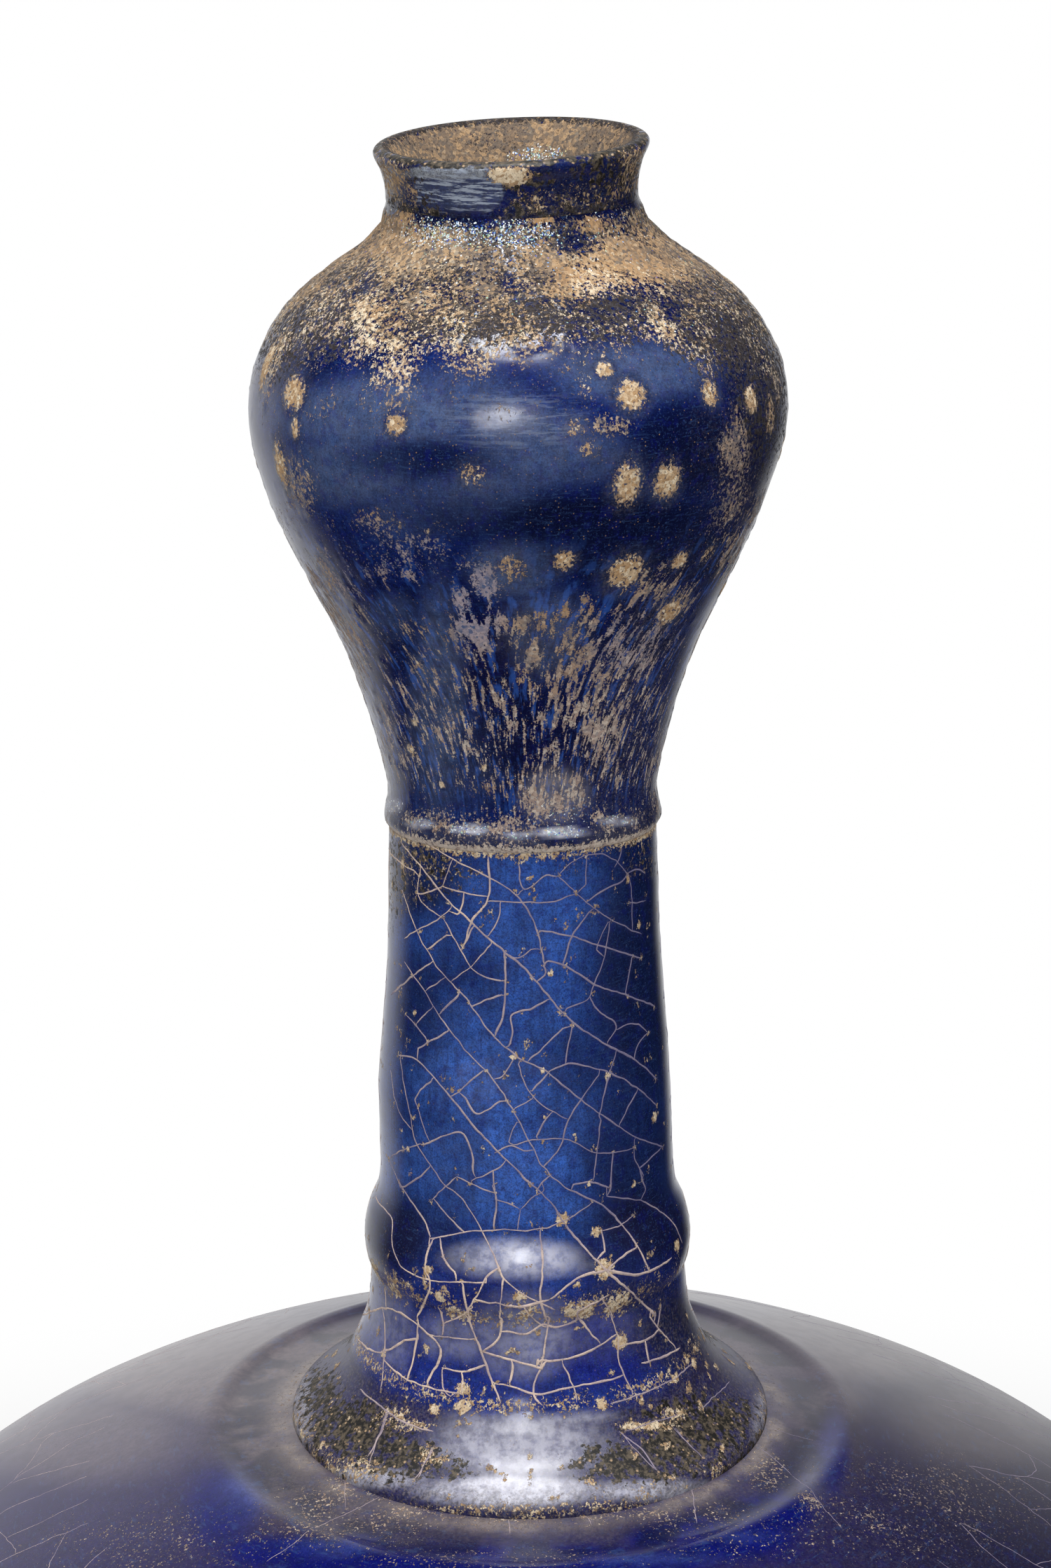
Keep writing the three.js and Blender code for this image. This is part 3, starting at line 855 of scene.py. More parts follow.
def paint_neck(skin):
    """Clouded blue with painted light in its middle and painted shade at its sides, dirt in its hollows, a
    dark ring shaded at its sides by paint, a royal foot and a dusty purple collar.
    """
    wear = skin.fields
    hidden = 1 - skin.seen
    level = skin.level / MM
    clusters = skin.noise(3 * MM, 141, 4)
    clouds = skin.noise(8 * MM, 151, 3, (1, 1, 0.5))
    wide = skin.noise(14 * MM, 181, 2)
    mottled = smooth_step(clouds, 0.35, 0.75)
    foot = 1 - smooth_step(level, *FOOT_TO_TUBE)
    collar = 1 - smooth_step(level, *COLLAR_TO_FOOT)
    front = smooth_step(np.cos(skin.side + 0.08), 0.35, 0.95)
    dirty_top = skin.patches(DIRT_ON_NECK_TOP)
    shaded = skin.patches(FOOT_SHADE)
    dots, _, _ = spots(skin, NECK_DOTS)
    blots, _, _ = spots(skin, FOOT_BLOTS)

    # Crust
    top_line = bell(level, NECK_TOP, 0.7) * (0.5 + 0.5 * clusters)
    top_dirt = smooth_step(level, NECK_TOP - 9, NECK_TOP) * smooth_step(skin.noise(6 * MM, 161, 3), 0.45, 0.8)
    top_dirt = strongest(top_dirt * 0.16, 0.3 * dirty_top * (0.4 + clusters))
    hollow = bell(level, HOLLOW, 1.8) * (0.15 + 0.75 * smooth_step(clusters, 0.3, 0.7))
    scattered = smooth_step(skin.noise(1.3 * MM, 171, 2), 0.94, 1) * 0.8 * (0.4 + 0.5 * foot)
    foot_line = bell(level, COLLAR_TOP, 1.1) * (0.2 + 0.8 * clusters) * 0.6
    seat_line = bell(level, COLLAR_FOOT - 0.6, 1.4) * 0.5 * smooth_step(clusters, 0.4, 0.8)
    beige = skin.patches(BEIGE_ON_COLLAR) * (0.5 + 0.8 * clusters)
    lines = [dots, top_line, hollow, foot_line, seat_line, beige]
    wear["crust"] = np.clip(strongest(*lines, 0.95 * blots, top_dirt, scattered), 0, 1)
    wear["tone"] = 0.5 + 0.45 * strongest(*lines, blots)

    # Colours of the glaze: clouded, and brighter towards the front and the tube's middle as painted light
    bright = strongest(skin.patches(BRIGHT_ON_NECK), 0.3 * front * mottled, 0.7 * mottled * hidden)
    dark = strongest(skin.patches(DARK_ON_NECK), 0.5 * smooth_step(clouds, 0.5, 0.2))
    torus = np.exp(-(((level - TORUS) / 4.5) ** 4))
    # The ring is dark all round, with painted shade on its seen sides
    dark_and_shaded_ring = strongest(skin.patches(TORUS_SHADED_SIDES), torus * hidden * 0.8)
    royal = strongest(skin.patches(ROYAL_ON_FOOT), hidden * foot * (0.4 + 0.5 * clouds))
    wear["tint"] = layered(
        COBALT,
        (BRIGHT_COBALT, 0.26 + 0.74 * np.clip(bright, 0, 1)),
        (DARK_BAND, dark * 0.85),
        (ROYAL, strongest(royal, 0.7 * foot)),
        (VIOLET_BLACK, dark_and_shaded_ring * 0.9),
        (VIOLET_BLACK, 0.8 * shaded),
        (SHOULDER_PURPLE, collar * 0.8),
    )

    # Soot, film with painted highlights and sheen, and dust
    soot = strongest(skin.patches(SOOT_ON_COLLAR), hidden * smooth_step(wide, 0.35, 0.6)) * collar
    soot = soot * (1 - 0.6 * bell(level, COLLAR_FOOT, 1.5))
    wear["soot"] = strongest(soot, 0.5 * dirty_top)
    film_and_highlight = strongest(skin.patches(FILM_AND_HIGHLIGHTS_ON_COLLAR), hidden * 0.5 * smooth_step(wide, 0.6, 0.3)) * collar
    sheen = skin.patches(SHEEN_ON_FOOT) * (1 - collar) * (0.5 + 0.6 * clouds)
    # A faint painted sheen on the front, stronger where the glaze is painted bright
    gleam = front * (1 - collar) * strongest(0.01, 0.03 * bright)
    film_and_sheen = strongest(film_and_highlight, sheen, gleam)
    wear["film_and_sheen"] = film_and_sheen
    # The painted shade on the foot's right is darkened further with dust colour
    wear["dust"] = strongest(0.55 * collar * (1 - film_and_sheen), 0.9 * bell(level, COLLAR_FOOT, 2.2), 0.5 * shaded)
    wear["grime"] = 0.2 + 0.5 * collar * clouds
    wear["ochre"] = 0.15 * clusters + 0.4 * blots
    wear["specks"] = 0.1 + 0.25 * foot
    skin.relief += skin.away_from_ends(1.5 * MM) * smooth_step(wear["crust"], 0.3, 0.8) * 0.07 * MM


# The mouth

BARE_PATCH = ((655, 288, 56, 22, 1), (618, 262, 22, 30, 1), (690, 272, 28, 30, 1), (640, 260, 40, 20, 1))
# A pale grey strip high on the flare: worn glaze with a painted reflection
PALE_STRIP = ((640, 246, 62, 10, 1),)
CHIP = (724, 250, 30, 13)
NICK = (869, 231, 7, 14)
MOUTH_TAN = (
    (612, 300, 7, 5, 1.2), (662, 322, 8, 4, 1.1), (700, 318, 6, 5, 1), (556, 250, 26, 50, 0.7),
    (590, 285, 26, 22, 0.55), (850, 288, 90, 24, 0.42), (770, 288, 40, 20, 0.4), (905, 250, 22, 60, 0.55),
    (724, 252, 32, 15, 1.3), (600, 310, 20, 14, 0.6), (784, 298, 26, 16, 0.4),
)
MOUTH_SOOT = (
    (800, 300, 90, 20, 0.5), (600, 305, 34, 16, 0.7), (870, 245, 50, 34, 0.6), (750, 260, 40, 16, 0.6),
)
INSIDE_SMUDGES = ((700, 205, 40, 14, 0.8), (860, 200, 30, 18, 0.8), (600, 205, 40, 10, 0.5))
MOUTH_BROWN = (
    (850, 292, 90, 24, 0.6), (895, 250, 26, 60, 0.6), (760, 300, 50, 14, 0.5), (585, 295, 40, 26, 0.7),
    (590, 250, 14, 40, 0.6),
)
INSIDE_SHINE = ((768, 222, 34, 12, 1),)


def paint_mouth(skin):
    """Tan crust around a patch that is rubbed bare, and dry dirt inside."""
    wear = skin.fields
    hidden = 1 - skin.seen
    clusters = skin.noise(2.2 * MM, 241, 4)
    inside = np.repeat(np.arange(skin.rows) > np.argmax(skin.outline[:, 1]), skin.columns).astype(float)
    outside = 1 - inside
    waist = bell(skin.level, WAIST_LEVEL, 1.5 * MM) * outside
    lip = bell(skin.level, TOP_LEVEL, 0.45 * MM)
    chip = skin.patch(*CHIP)
    shine = inside * skin.patches(INSIDE_SHINE)
    ragged_edge = 0.5 * (skin.noise(3 * MM, 281, 3) - 0.5)
    bare = smooth_step(skin.patches(BARE_PATCH) + ragged_edge, 0.35, 0.6) * outside * (1 - waist)
    strip = smooth_step(skin.patches(PALE_STRIP) + ragged_edge, 0.35, 0.6) * outside
    smudge = smooth_step(skin.noise(5 * MM, 261, 3), 0.5, 0.8)
    smudge = strongest(0.6 * smudge, skin.patches(INSIDE_SMUDGES) * (0.5 + clusters)) * inside

    # Crust, colours and dirt
    tan_behind = hidden * smooth_step(skin.noise(9 * MM, 251, 3), 0.3, 0.75) * 0.8
    crust = strongest(skin.patches(MOUTH_TAN), tan_behind) * (0.5 + 0.8 * clusters) * outside
    crust = crust * (1 - 0.8 * waist) * (1 - bare * (1 - chip))
    crust = strongest(crust, inside * (1 - 0.16 * smudge)) * (1 - 0.8 * lip * (1 - chip))
    wear["crust"] = np.clip(crust, 0, 1)
    wear["tint"] = layered(
        NAVY, (COBALT, 0.25 + 0.6 * clusters), (BARE_BLUE, bare), (STRIP_GREY, strip * 0.9), (NAVY, waist)
    )
    wear["brushed"] = bare
    wear["film_and_sheen"] = 0.05 * bare + 0.9 * shine
    soot = strongest(skin.patches(MOUTH_SOOT), 0.5 * hidden * clusters)
    wear["soot"] = strongest(soot * outside * (1 - bare), 2 * lip * (1 - chip))
    brown = skin.patches(MOUTH_BROWN) * outside * (0.3 + 0.8 * clusters)
    wear["ground"] = strongest(0.95 * inside, brown)
    wear["dust"] = 0.15 * outside * (1 - bare)
    wear["grime"] = 0.1 + 0.5 * smudge
    wear["tone"] = 0.4 - 0.2 * inside - 0.2 * smudge + 0.5 * chip * outside
    wear["ochre"] = 0.25 * clusters
    wear["sparkle"] = 0.45 * shine
    wear["specks"] = 0.6 * (1 - bare)

    # The chip and the nick in the lip, and the relief of the crust
    by_lip = smooth_step(skin.level, TOP_LEVEL - 3 * MM, TOP_LEVEL)
    ragged = skin.noise(1.2 * MM, 271, 3) - 0.5
    skin.relief -= skin.patch(*CHIP, soft=0.6) * by_lip * (0.35 + 0.35 * ragged) * MM
    skin.relief -= skin.patch(*NICK, soft=0.6) * by_lip * 0.6 * MM
    raised = skin.away_from_ends(1 * MM) * outside
    skin.relief += raised * smooth_step(wear["crust"], 0.3, 0.8) * 0.06 * MM


# The body, of which the camera sees the shoulder

# The shoulder's ring, the valley inside it and the border by the collar, by their distances from the axis
RING_RADIUS = 42.3 * MM
VALLEY_RADIUS = 37.5 * MM
BORDER_RADIUS = 32.6 * MM
BLOOM_COUNT = 44
BLOOM_LEVELS = (30 * MM, 118 * MM)

# Levels in millimetres between which the crusty foot and the streaks end and the shoulder begins
CRUSTY_FOOT_END = (14, 30)
BODY_STREAKS_END = (60, 90)
SHOULDER_BEGIN = (96, 118)

# Grey places on the shoulder: a grey film, and a painted reflection over the shoulder's sides
GREY_SHOULDER = (
    (330, 1950, 260, 70, 1), (1180, 1920, 240, 50, 0.6), (120, 2050, 140, 60, 0.6),
    (390, 2020, 60, 90, 0.4), (1400, 2030, 110, 60, 0.3), (1160, 1990, 70, 40, 0.4),
)
BROWN_SHOULDER = (
    (390, 2060, 90, 110, 1), (450, 2150, 110, 40, 0.8), (620, 2190, 180, 20, 0.7),
    (900, 2180, 180, 18, 0.7), (1180, 2060, 60, 80, 0.7), (760, 2175, 200, 16, 0.7),
)
BLUE_SHOULDER = (
    (620, 2236, 260, 18, 1), (760, 2222, 330, 18, 0.7), (1010, 2196, 110, 26, 1.3),
    (1100, 2160, 50, 26, 1.2), (520, 2205, 40, 16, 1), (1190, 2070, 20, 60, 0.6), (860, 2232, 160, 14, 0.9),
    (320, 2150, 50, 60, 0.7), (400, 2215, 80, 20, 0.9),
)
DARK_VALLEY = (
    (700, 2206, 280, 26, 0.9), (1000, 2176, 100, 30, 0.7), (470, 2180, 90, 24, 0.4),
    (1110, 2120, 40, 50, 0.5),
)
# Painted highlights along the front of the ring's edge
RING_EDGE_HIGHLIGHT = (
    (340, 2145, 34, 40, 0.9), (430, 2212, 80, 16, 1.3), (1165, 2110, 26, 50, 0.4), (960, 2226, 100, 8, 1),
    (1080, 2195, 60, 8, 0.8),
)
DUSTY_COLLAR_EDGE = (
    (430, 2100, 60, 60, 0.7), (560, 2160, 120, 26, 0.7), (800, 2165, 150, 16, 0.6),
    (1040, 2140, 60, 30, 0.6), (620, 2190, 150, 22, 0.5), (850, 2190, 130, 20, 0.5),
)
CRUST_ON_SHOULDER = (
    (700, 2160, 160, 9, 0.5), (880, 2160, 80, 9, 0.55), (1090, 2105, 30, 30, 0.3), (405, 2217, 8, 8, 1),
    (520, 2120, 60, 26, 0.4), (1150, 2150, 20, 20, 0.4), (1300, 2150, 180, 70, 0.18),
    (230, 2200, 200, 50, 0.15), (480, 2170, 120, 50, 0.28), (1050, 2185, 130, 40, 0.26),
    (700, 2226, 220, 16, 0.3),
)


def paint_body(skin):
    """Violet with grey, brown and blue places on the shoulder, streaked lower down."""
    wear = skin.fields
    level = skin.level / MM
    clusters = skin.noise(4 * MM, 341, 4)
    clouds = skin.noise(26 * MM, 351, 4)
    wide = skin.noise(60 * MM, 361, 2)
    mottle = skin.noise(11 * MM, 381, 4, (1, 1, 0.7))
    shoulder = smooth_step(level, *SHOULDER_BEGIN)
    hidden = smooth_step(0.9 * (0.5 - clouds) - skin.facing, 0.1, 0.8)
    # The shoulder's right side, darkened where the camera sees it as painted shade
    right = smooth_step(skin.true[:, 0], 20 * MM, 60 * MM) * shoulder
    near_ring = bell(skin.radius, RING_RADIUS - 1.5 * MM, 3.2 * MM) * shoulder
    in_ring = bell(skin.radius, VALLEY_RADIUS, 4 * MM) * shoulder
    by_collar = bell(skin.radius, BORDER_RADIUS, 1.6 * MM) * shoulder
    valley = skin.patches(DARK_VALLEY)
    edge = skin.patches(RING_EDGE_HIGHLIGHT) * near_ring
    grey_behind = hidden * smooth_step(wide, 0.35, 0.7) * (0.35 + 0.65 * shoulder)
    grey = strongest(skin.patches(GREY_SHOULDER), grey_behind)
    blue = strongest(skin.patches(BLUE_SHOULDER), near_ring * (0.35 + 0.5 * clouds) * hidden)
    blue = np.clip(blue * (1.05 + 0.5 * clusters), 0, 1)
    blue_behind = hidden * smooth_step(mottle, 0.55, 0.3) * smooth_step(clouds, 0.3, 0.6)
    bright_behind = hidden * smooth_step(wide, 0.6, 0.3) * smooth_step(clouds, 0.6, 0.3)

    # Colours of the glaze, with painted shade on the shoulder's right, a painted highlight on the ring's edge
    # and a painted reflection in the grey places
    wear["tint"] = layered(
        SHOULDER_PURPLE,
        (VIOLET, 0.3 + 0.5 * clouds),
        (GREY_BROWN, 0.6 * skin.patches(BROWN_SHOULDER)),
        (VIOLET_BLACK, 0.85 * right * (1 - hidden)),
        (SHOULDER_GREY, 0.6 * grey),
        (PURE_BLUE, strongest(0.95 * blue, 0.6 * blue_behind)),
        (DARK_BAND, 0.7 * (1 - shoulder) * smooth_step(clouds, 0.4, 0.8)),
        (BRIGHT_COBALT, 0.4 * bright_behind),
        (RING_SHEEN, 0.4 * edge),
        (NAVY, 0.8 * in_ring * smooth_step(clusters, 0.3, 0.6)),
        (DEEP_VIOLET, 0.7 * valley * (1 - blue)),
        (BORDER_DUST, by_collar * (0.1 + 0.6 * smooth_step(clusters, 0.3, 0.7))),
    )

    # Film with painted highlights and reflections, dust and crust
    wear["film_and_sheen"] = 0.1 * grey - 0.5 * blue + 0.15 * edge + 0.05 * by_collar
    thin_dust = 0.2 * (1 - blue) * (1 - 0.6 * valley)
    dust = strongest(skin.patches(DUSTY_COLLAR_EDGE), 0.4 * by_collar, thin_dust)
    dust = dust * (0.6 + 0.8 * (clouds - 0.2)) * (1 - 0.95 * blue)
    dust_behind = hidden * smooth_step(mottle, 0.35, 0.75) * (0.4 + 0.4 * shoulder)
    wear["dust"] = strongest(dust, dust_behind)
    thin_crust = 0.42 * smooth_step(clouds, 0.4, 0.8) * smooth_step(mottle, 0.45, 0.75) * hidden
    crust = strongest(skin.patches(CRUST_ON_SHOULDER), thin_crust, 0.16 * by_collar)
    foot_crust = (1 - smooth_step(level, *CRUSTY_FOOT_END)) * (0.25 + 0.4 * clusters)
    bloom, _, _ = hidden_spots(skin, BLOOM_COUNT, *BLOOM_LEVELS, 371)
    crust = strongest(crust * (0.4 + clusters) * (1 - 0.45 * blue), foot_crust, bloom * 0.8)
    wear["crust"] = np.clip(crust, 0, 1) * 0.9
    wear["streak"] = (1 - smooth_step(level, *BODY_STREAKS_END)) * 0.7
    wear["even_dust"] = shoulder * (0.45 + 0.5 * smooth_step(skin.true[:, 1], -30 * MM, 10 * MM))
    wear["grime"] = 0.3 + 0.3 * clouds
    wear["tone"] = 0.45 + 0.2 * clusters
    wear["cool"] = np.full(len(level), 0.35)
    wear["ochre"] = 0.1 * clusters
    skin.relief += skin.away_from_ends(2 * MM) * wear["crust"] * 0.05 * MM
    skin.relief = np.minimum(skin.relief, -LAYING_OFF)


# Crackle: traced where the camera sees it, and cut by a seeded rule everywhere else

# A view is the picture point at its corner, then how many of its units make one pixel of the photograph.
NECK_VIEW = (523, 1200, 3.136)
FOOT_VIEW = (500, 1880, 3.015)
TORUS_VIEW = (0, 1650, 1.0453)
NECK_CRACKS = (
    ((150, 0), (255, 130), (375, 280), (480, 375), (620, 500), (700, 565), (770, 640), (850, 740),
     (940, 825), (1070, 910), (1200, 980), (1300, 1070)),
    ((160, 220), (225, 400), (320, 570), (440, 700), (550, 850), (670, 965), (800, 1030), (960, 1160),
     (1130, 1280), (1210, 1330), (1330, 1370)),
    ((170, 540), (250, 660), (350, 820), (430, 920), (560, 1060), (640, 1180), (720, 1330), (790, 1460),
     (900, 1560)),
    ((140, 960), (230, 985), (380, 1150), (480, 1280), (640, 1440), (760, 1560)),
    ((150, 980), (200, 1250), (210, 1320), (290, 1460), (350, 1540)),
    ((280, 0), (400, 90), (540, 160), (680, 250), (760, 390), (800, 560)),
    ((860, 160), (980, 270), (1090, 350), (1230, 420)),
    ((860, 160), (910, 100), (1050, 60), (1180, 180), (1190, 400)),
    ((545, 70), (545, 260), (470, 360), (440, 460)), ((545, 270), (700, 275), (850, 270), (920, 240)),
    ((780, 400), (920, 430), (1080, 480), (1230, 525)),
    ((810, 540), (880, 555), (1020, 640), (1160, 690), (1290, 740)), ((1000, 320), (920, 430), (880, 555)),
    ((1090, 360), (1060, 540), (1020, 640), (1000, 700), (900, 750)),
    ((1000, 700), (1040, 760), (1120, 830), (1080, 900)), ((990, 270), (1060, 220), (1150, 180)),
    ((680, 100), (700, 215), (810, 150)), ((700, 215), (680, 245)),
    ((345, 350), (430, 500), (480, 580), (600, 630)), ((240, 130), (230, 240), (345, 350)),
    ((170, 440), (225, 400), (310, 360), (380, 300)), ((480, 380), (430, 480)),
    ((620, 500), (615, 760), (580, 860)), ((810, 710), (740, 750), (650, 780), (655, 860), (640, 920)),
    ((560, 460), (470, 560), (380, 630)), ((270, 490), (360, 420)), ((210, 600), (290, 545)),
    ((280, 660), (340, 620)), ((340, 760), (410, 690)), ((470, 740), (600, 690)), ((230, 930), (370, 850)),
    ((920, 830), (890, 1000)), ((740, 970), (880, 840)),
    ((820, 1030), (900, 1000), (1090, 1040), (1230, 1120), (1300, 1190)),
    ((1040, 1050), (960, 1160), (900, 1260), (870, 1370), (790, 1460)),
    ((680, 1000), (740, 1140), (900, 1250)), ((660, 1200), (745, 1155)), ((810, 1040), (740, 1120)),
    ((600, 1060), (660, 980)), ((390, 1140), (520, 1030)), ((440, 1150), (490, 1220), (600, 1165)),
    ((250, 1360), (430, 1310), (470, 1390), (480, 1490)), ((470, 1520), (600, 1460)),
    ((670, 1260), (640, 1360), (730, 1340), (900, 1340), (1040, 1400), (1190, 1380)),
    ((1050, 1250), (1030, 1400), (1020, 1500)), ((1200, 1340), (1200, 1420), (1240, 1500)),
)
TORUS_CRACKS = (
    ((663, 43), (686, 61), (708, 92), (722, 119), (737, 150), (752, 182), (790, 212), (830, 230)),
    ((640, 124), (690, 114), (740, 110), (800, 110), (838, 99), (880, 72)),
    ((560, 60), (585, 95), (585, 130), (598, 164), (640, 185), (690, 188), (725, 190)),
    ((800, 49), (822, 68), (839, 96), (868, 132), (902, 168), (942, 204), (978, 238)),
    ((847, 49), (872, 61), (899, 74), (922, 94), (938, 115), (966, 166)),
    ((905, 60), (960, 68), (1000, 95), (1018, 130)), ((735, 45), (740, 62), (736, 108)),
    ((806, 110), (810, 160), (806, 214), (816, 244)), ((902, 170), (862, 182), (820, 214)),
    ((905, 170), (955, 176), (1002, 152)), ((645, 124), (634, 165), (642, 192), (622, 240)),
    ((690, 190), (702, 244)), ((752, 182), (745, 240)),
)
FOOT_CRACKS = (
    ((145, 0), (145, 150), (130, 320)), ((290, 10), (285, 100), (240, 280)),
    ((290, 30), (390, 140), (330, 280)), ((505, 0), (560, 140), (610, 280), (650, 370)),
    ((650, 0), (640, 90), (570, 150)), ((860, 0), (825, 190), (785, 330), (830, 380)),
    ((980, 0), (1070, 110)), ((1120, 0), (1150, 80), (1160, 200), (1215, 320)), ((1290, 0), (1400, 130)),
    ((910, 190), (960, 300), (975, 370)), ((700, 200), (690, 270)), ((395, 220), (400, 310), (430, 340)),
    ((480, 235), (480, 320)), ((30, 90), (140, 150), (235, 100), (290, 95)), ((335, 75), (520, 95)),
    ((670, 60), (760, 70), (830, 30), (880, 45), (970, 15)), ((570, 150), (720, 190), (820, 220)),
    ((820, 185), (910, 185), (1040, 140), (1150, 70)), ((400, 220), (480, 235), (580, 205)),
    ((620, 285), (700, 300), (785, 330), (960, 300), (1130, 265)),
    ((140, 180), (240, 265), (330, 300), (480, 330)), ((1250, 200), (1350, 170), (1420, 130)),
    ((1120, 370), (1300, 310), (1400, 260), (1470, 200)), ((160, 400), (130, 500), (75, 600)),
    ((350, 560), (290, 690)), ((1400, 480), (1490, 580)), ((1170, 500), (1320, 660)),
)
HIGH_NECK_VIEW = (530, 1190, 3.4)
HIGH_NECK_CRACKS = (
    ((80, 50), (130, 130), (205, 180)), ((395, 120), (370, 190), (350, 245)),
    ((345, 255), (400, 272), (470, 292), (560, 305)), ((448, 295), (440, 345), (420, 395)),
    ((628, 330), (622, 390), (600, 445), (570, 495)), ((215, 290), (280, 285), (345, 258)),
    ((1245, 190), (1290, 172), (1330, 195)), ((1250, 338), (1330, 325)),
    ((1180, 160), (1205, 115), (1215, 60)), ((1045, 120), (1040, 250)),
    ((1150, 425), (1115, 500), (1090, 560)), ((660, 580), (700, 605), (780, 560)),
    ((835, 640), (845, 675), (800, 715)), ((95, 780), (150, 735), (200, 690)),
    ((1265, 600), (1250, 680), (1230, 780)),
)
LOW_NECK_VIEW = (530, 1440, 3.4)
LOW_NECK_CRACKS = (
    ((165, 25), (215, 80), (268, 145)), ((215, 75), (250, 35), (290, 0)),
    ((1190, 100), (1240, 75), (1300, 80), (1345, 115)), ((1340, 115), (1290, 180), (1275, 245)),
    ((1185, 215), (1160, 300)), ((1150, 340), (1125, 430), (1105, 520)),
    ((1290, 400), (1245, 480), (1200, 565)), ((290, 350), (240, 390), (210, 440)),
    ((225, 470), (245, 540), (262, 600)), ((95, 300), (110, 420), (135, 500), (185, 570)),
    ((235, 655), (160, 680), (90, 720)), ((85, 730), (110, 790), (150, 880)),
    ((285, 770), (215, 830), (140, 870)), ((590, 780), (600, 880)), ((600, 700), (680, 665), (745, 690)),
    ((800, 620), (825, 570), (860, 520)), ((1175, 690), (1165, 790), (1160, 880)),
    ((1300, 770), (1330, 880)), ((1400, 680), (1345, 735), (1300, 775)), ((800, 880), (855, 815)),
)
RING_VIEW = (480, 1680, 2.8)
RING_CRACKS = (
    ((250, 20), (300, 100), (350, 170), (375, 240)), ((380, 95), (430, 45), (480, 0)),
    ((400, 100), (450, 160), (505, 215)), ((480, 0), (560, 35), (620, 60)),
    ((635, 90), (690, 105), (735, 130)), ((735, 130), (728, 205)), ((740, 125), (780, 85), (830, 55)),
    ((415, 270), (430, 330), (475, 385)), ((520, 540), (560, 480), (600, 400), (620, 380)),
    ((195, 440), (200, 530)), ((95, 535), (200, 525), (260, 545), (325, 590)), ((405, 520), (430, 590)),
    ((430, 585), (500, 555), (545, 520)), ((745, 515), (790, 570), (830, 600)),
    ((960, 540), (1040, 500), (1090, 470)), ((1060, 480), (1105, 560)),
    ((1170, 665), (1240, 650), (1290, 610)), ((1240, 690), (1255, 750)), ((1300, 510), (1285, 600)),
    ((1085, 365), (1150, 315), (1200, 280)), ((1060, 210), (1075, 300)),
    ((1060, 215), (1130, 195), (1190, 150)), ((950, 30), (1010, 20), (1090, 45)),
    ((560, 495), (640, 505), (740, 520), (850, 490)),
)
COLLAR_VIEW = (380, 1960, 1.8)
COLLAR_CRACKS = (
    ((310, 90), (285, 170), (262, 240)), ((430, 190), (400, 245), (375, 275)),
    ((1045, 140), (1080, 175), (1125, 220)), ((905, 150), (960, 190), (1005, 250)),
    ((1190, 20), (1150, 60), (1120, 90)), ((240, 40), (300, 90), (350, 125), (430, 150)),
    ((920, 150), (980, 130), (1060, 105)),
)
SHOULDER_CRACKS = (
    ((1265, 190), (1310, 225), (1350, 262)), ((1290, 140), (1340, 155), (1405, 172)),
    ((1088, 290), (1100, 340), (1105, 385)), ((815, 345), (838, 392)), ((625, 355), (625, 412)),
    ((160, 380), (230, 350), (290, 318)), ((0, 482), (45, 455), (90, 420), (160, 380)),
    ((205, 270), (205, 345)), ((1350, 262), (1420, 330), (1480, 400)),
)

# The seeded cracks: the area of a cell on the neck and on the body, their slant and how far they wander
CRACK_CELL_AREA = 17 * MM * MM
BODY_CELL_AREA = 130 * MM * MM
CRACK_STRIPS = 7
CRACK_SLANT = 0.55
CRACK_WARP = 1.2 * MM
HIDDEN_FACING = 0.12
LAST_TRACED_LEVEL = 146 * MM
BODY_ROWS_BELOW_CRACKS = 4
BODY_ROWS_ABOVE_CRACKS = 30

# The ribbons of dirt in the cracks, their loose ends and the knots where they meet
CRACK_STEP = 0.4 * MM
SHORTEST_CRACK = 0.8 * MM
CRACK_WIDTH = 0.37 * MM
BODY_CRACK_WIDTH = 0.26 * MM
LOW_CRACK_GAIN = 0.35
COLLAR_CRACK_LOSS = 0.5
CRACK_SHAKE = 0.12 * MM
CRACK_HEIGHT = 0.03 * MM
FINE_HEIGHT = 0.015 * MM
RIBBON_EDGE_DEPTH = 0.03 * MM
RIBBON_KEEL_DEPTH = 0.14 * MM
JOIN_REACH = 1.8 * MM
KNOT_SHARE = 0.4
KNOT_REACH = 0.32 * MM
HALO_REACH = 0.4 * MM

# Levels between which the cracks widen under the tube, and thin out on the collar
UNDER_TUBE = (172 * MM, 164 * MM)
ONTO_COLLAR = (148 * MM, 145 * MM)


def trace_cracks(skin, view, listed):
    """Traced cracks as rows and columns of the skin."""
    left, top, scale = view
    paths = []
    for crack in listed:
        places = np.array([skin.find(left + x / scale, top + y / scale) for x, y in crack])
        places[:, 1] = np.unwrap(places[:, 1], period=skin.columns)
        step = np.median(np.linalg.norm(np.diff(places, axis=0), axis=1)) / 6
        paths.append(smooth_curve(places, step))
    return paths


def join_ends(skin, paths, reach):
    """Carries the loose ends of cracks on to the nearest other crack."""
    located = [skin.place(path[:, 0], path[:, 1])[0] for path in paths]
    joined = []
    for own, path in enumerate(paths):
        for end in (0, -1):
            best = reach
            target = None
            for other, points in enumerate(located):
                if other == own:
                    continue
                away = points - located[own][end]
                onward = away @ (located[own][end] - located[own][2 if end == 0 else -3])
                away = np.linalg.norm(away, axis=1) + reach * (onward < 0)
                nearest = int(np.argmin(away))
                if away[nearest] < best:
                    best = away[nearest]
                    target = paths[other][nearest].copy()
            if target is None:
                continue
            turns = round((path[end, 1] - target[1]) / skin.columns)
            target[1] += turns * skin.columns
            path = np.vstack([target, path]) if end == 0 else np.vstack([path, target])
        joined.append(path)
    return joined


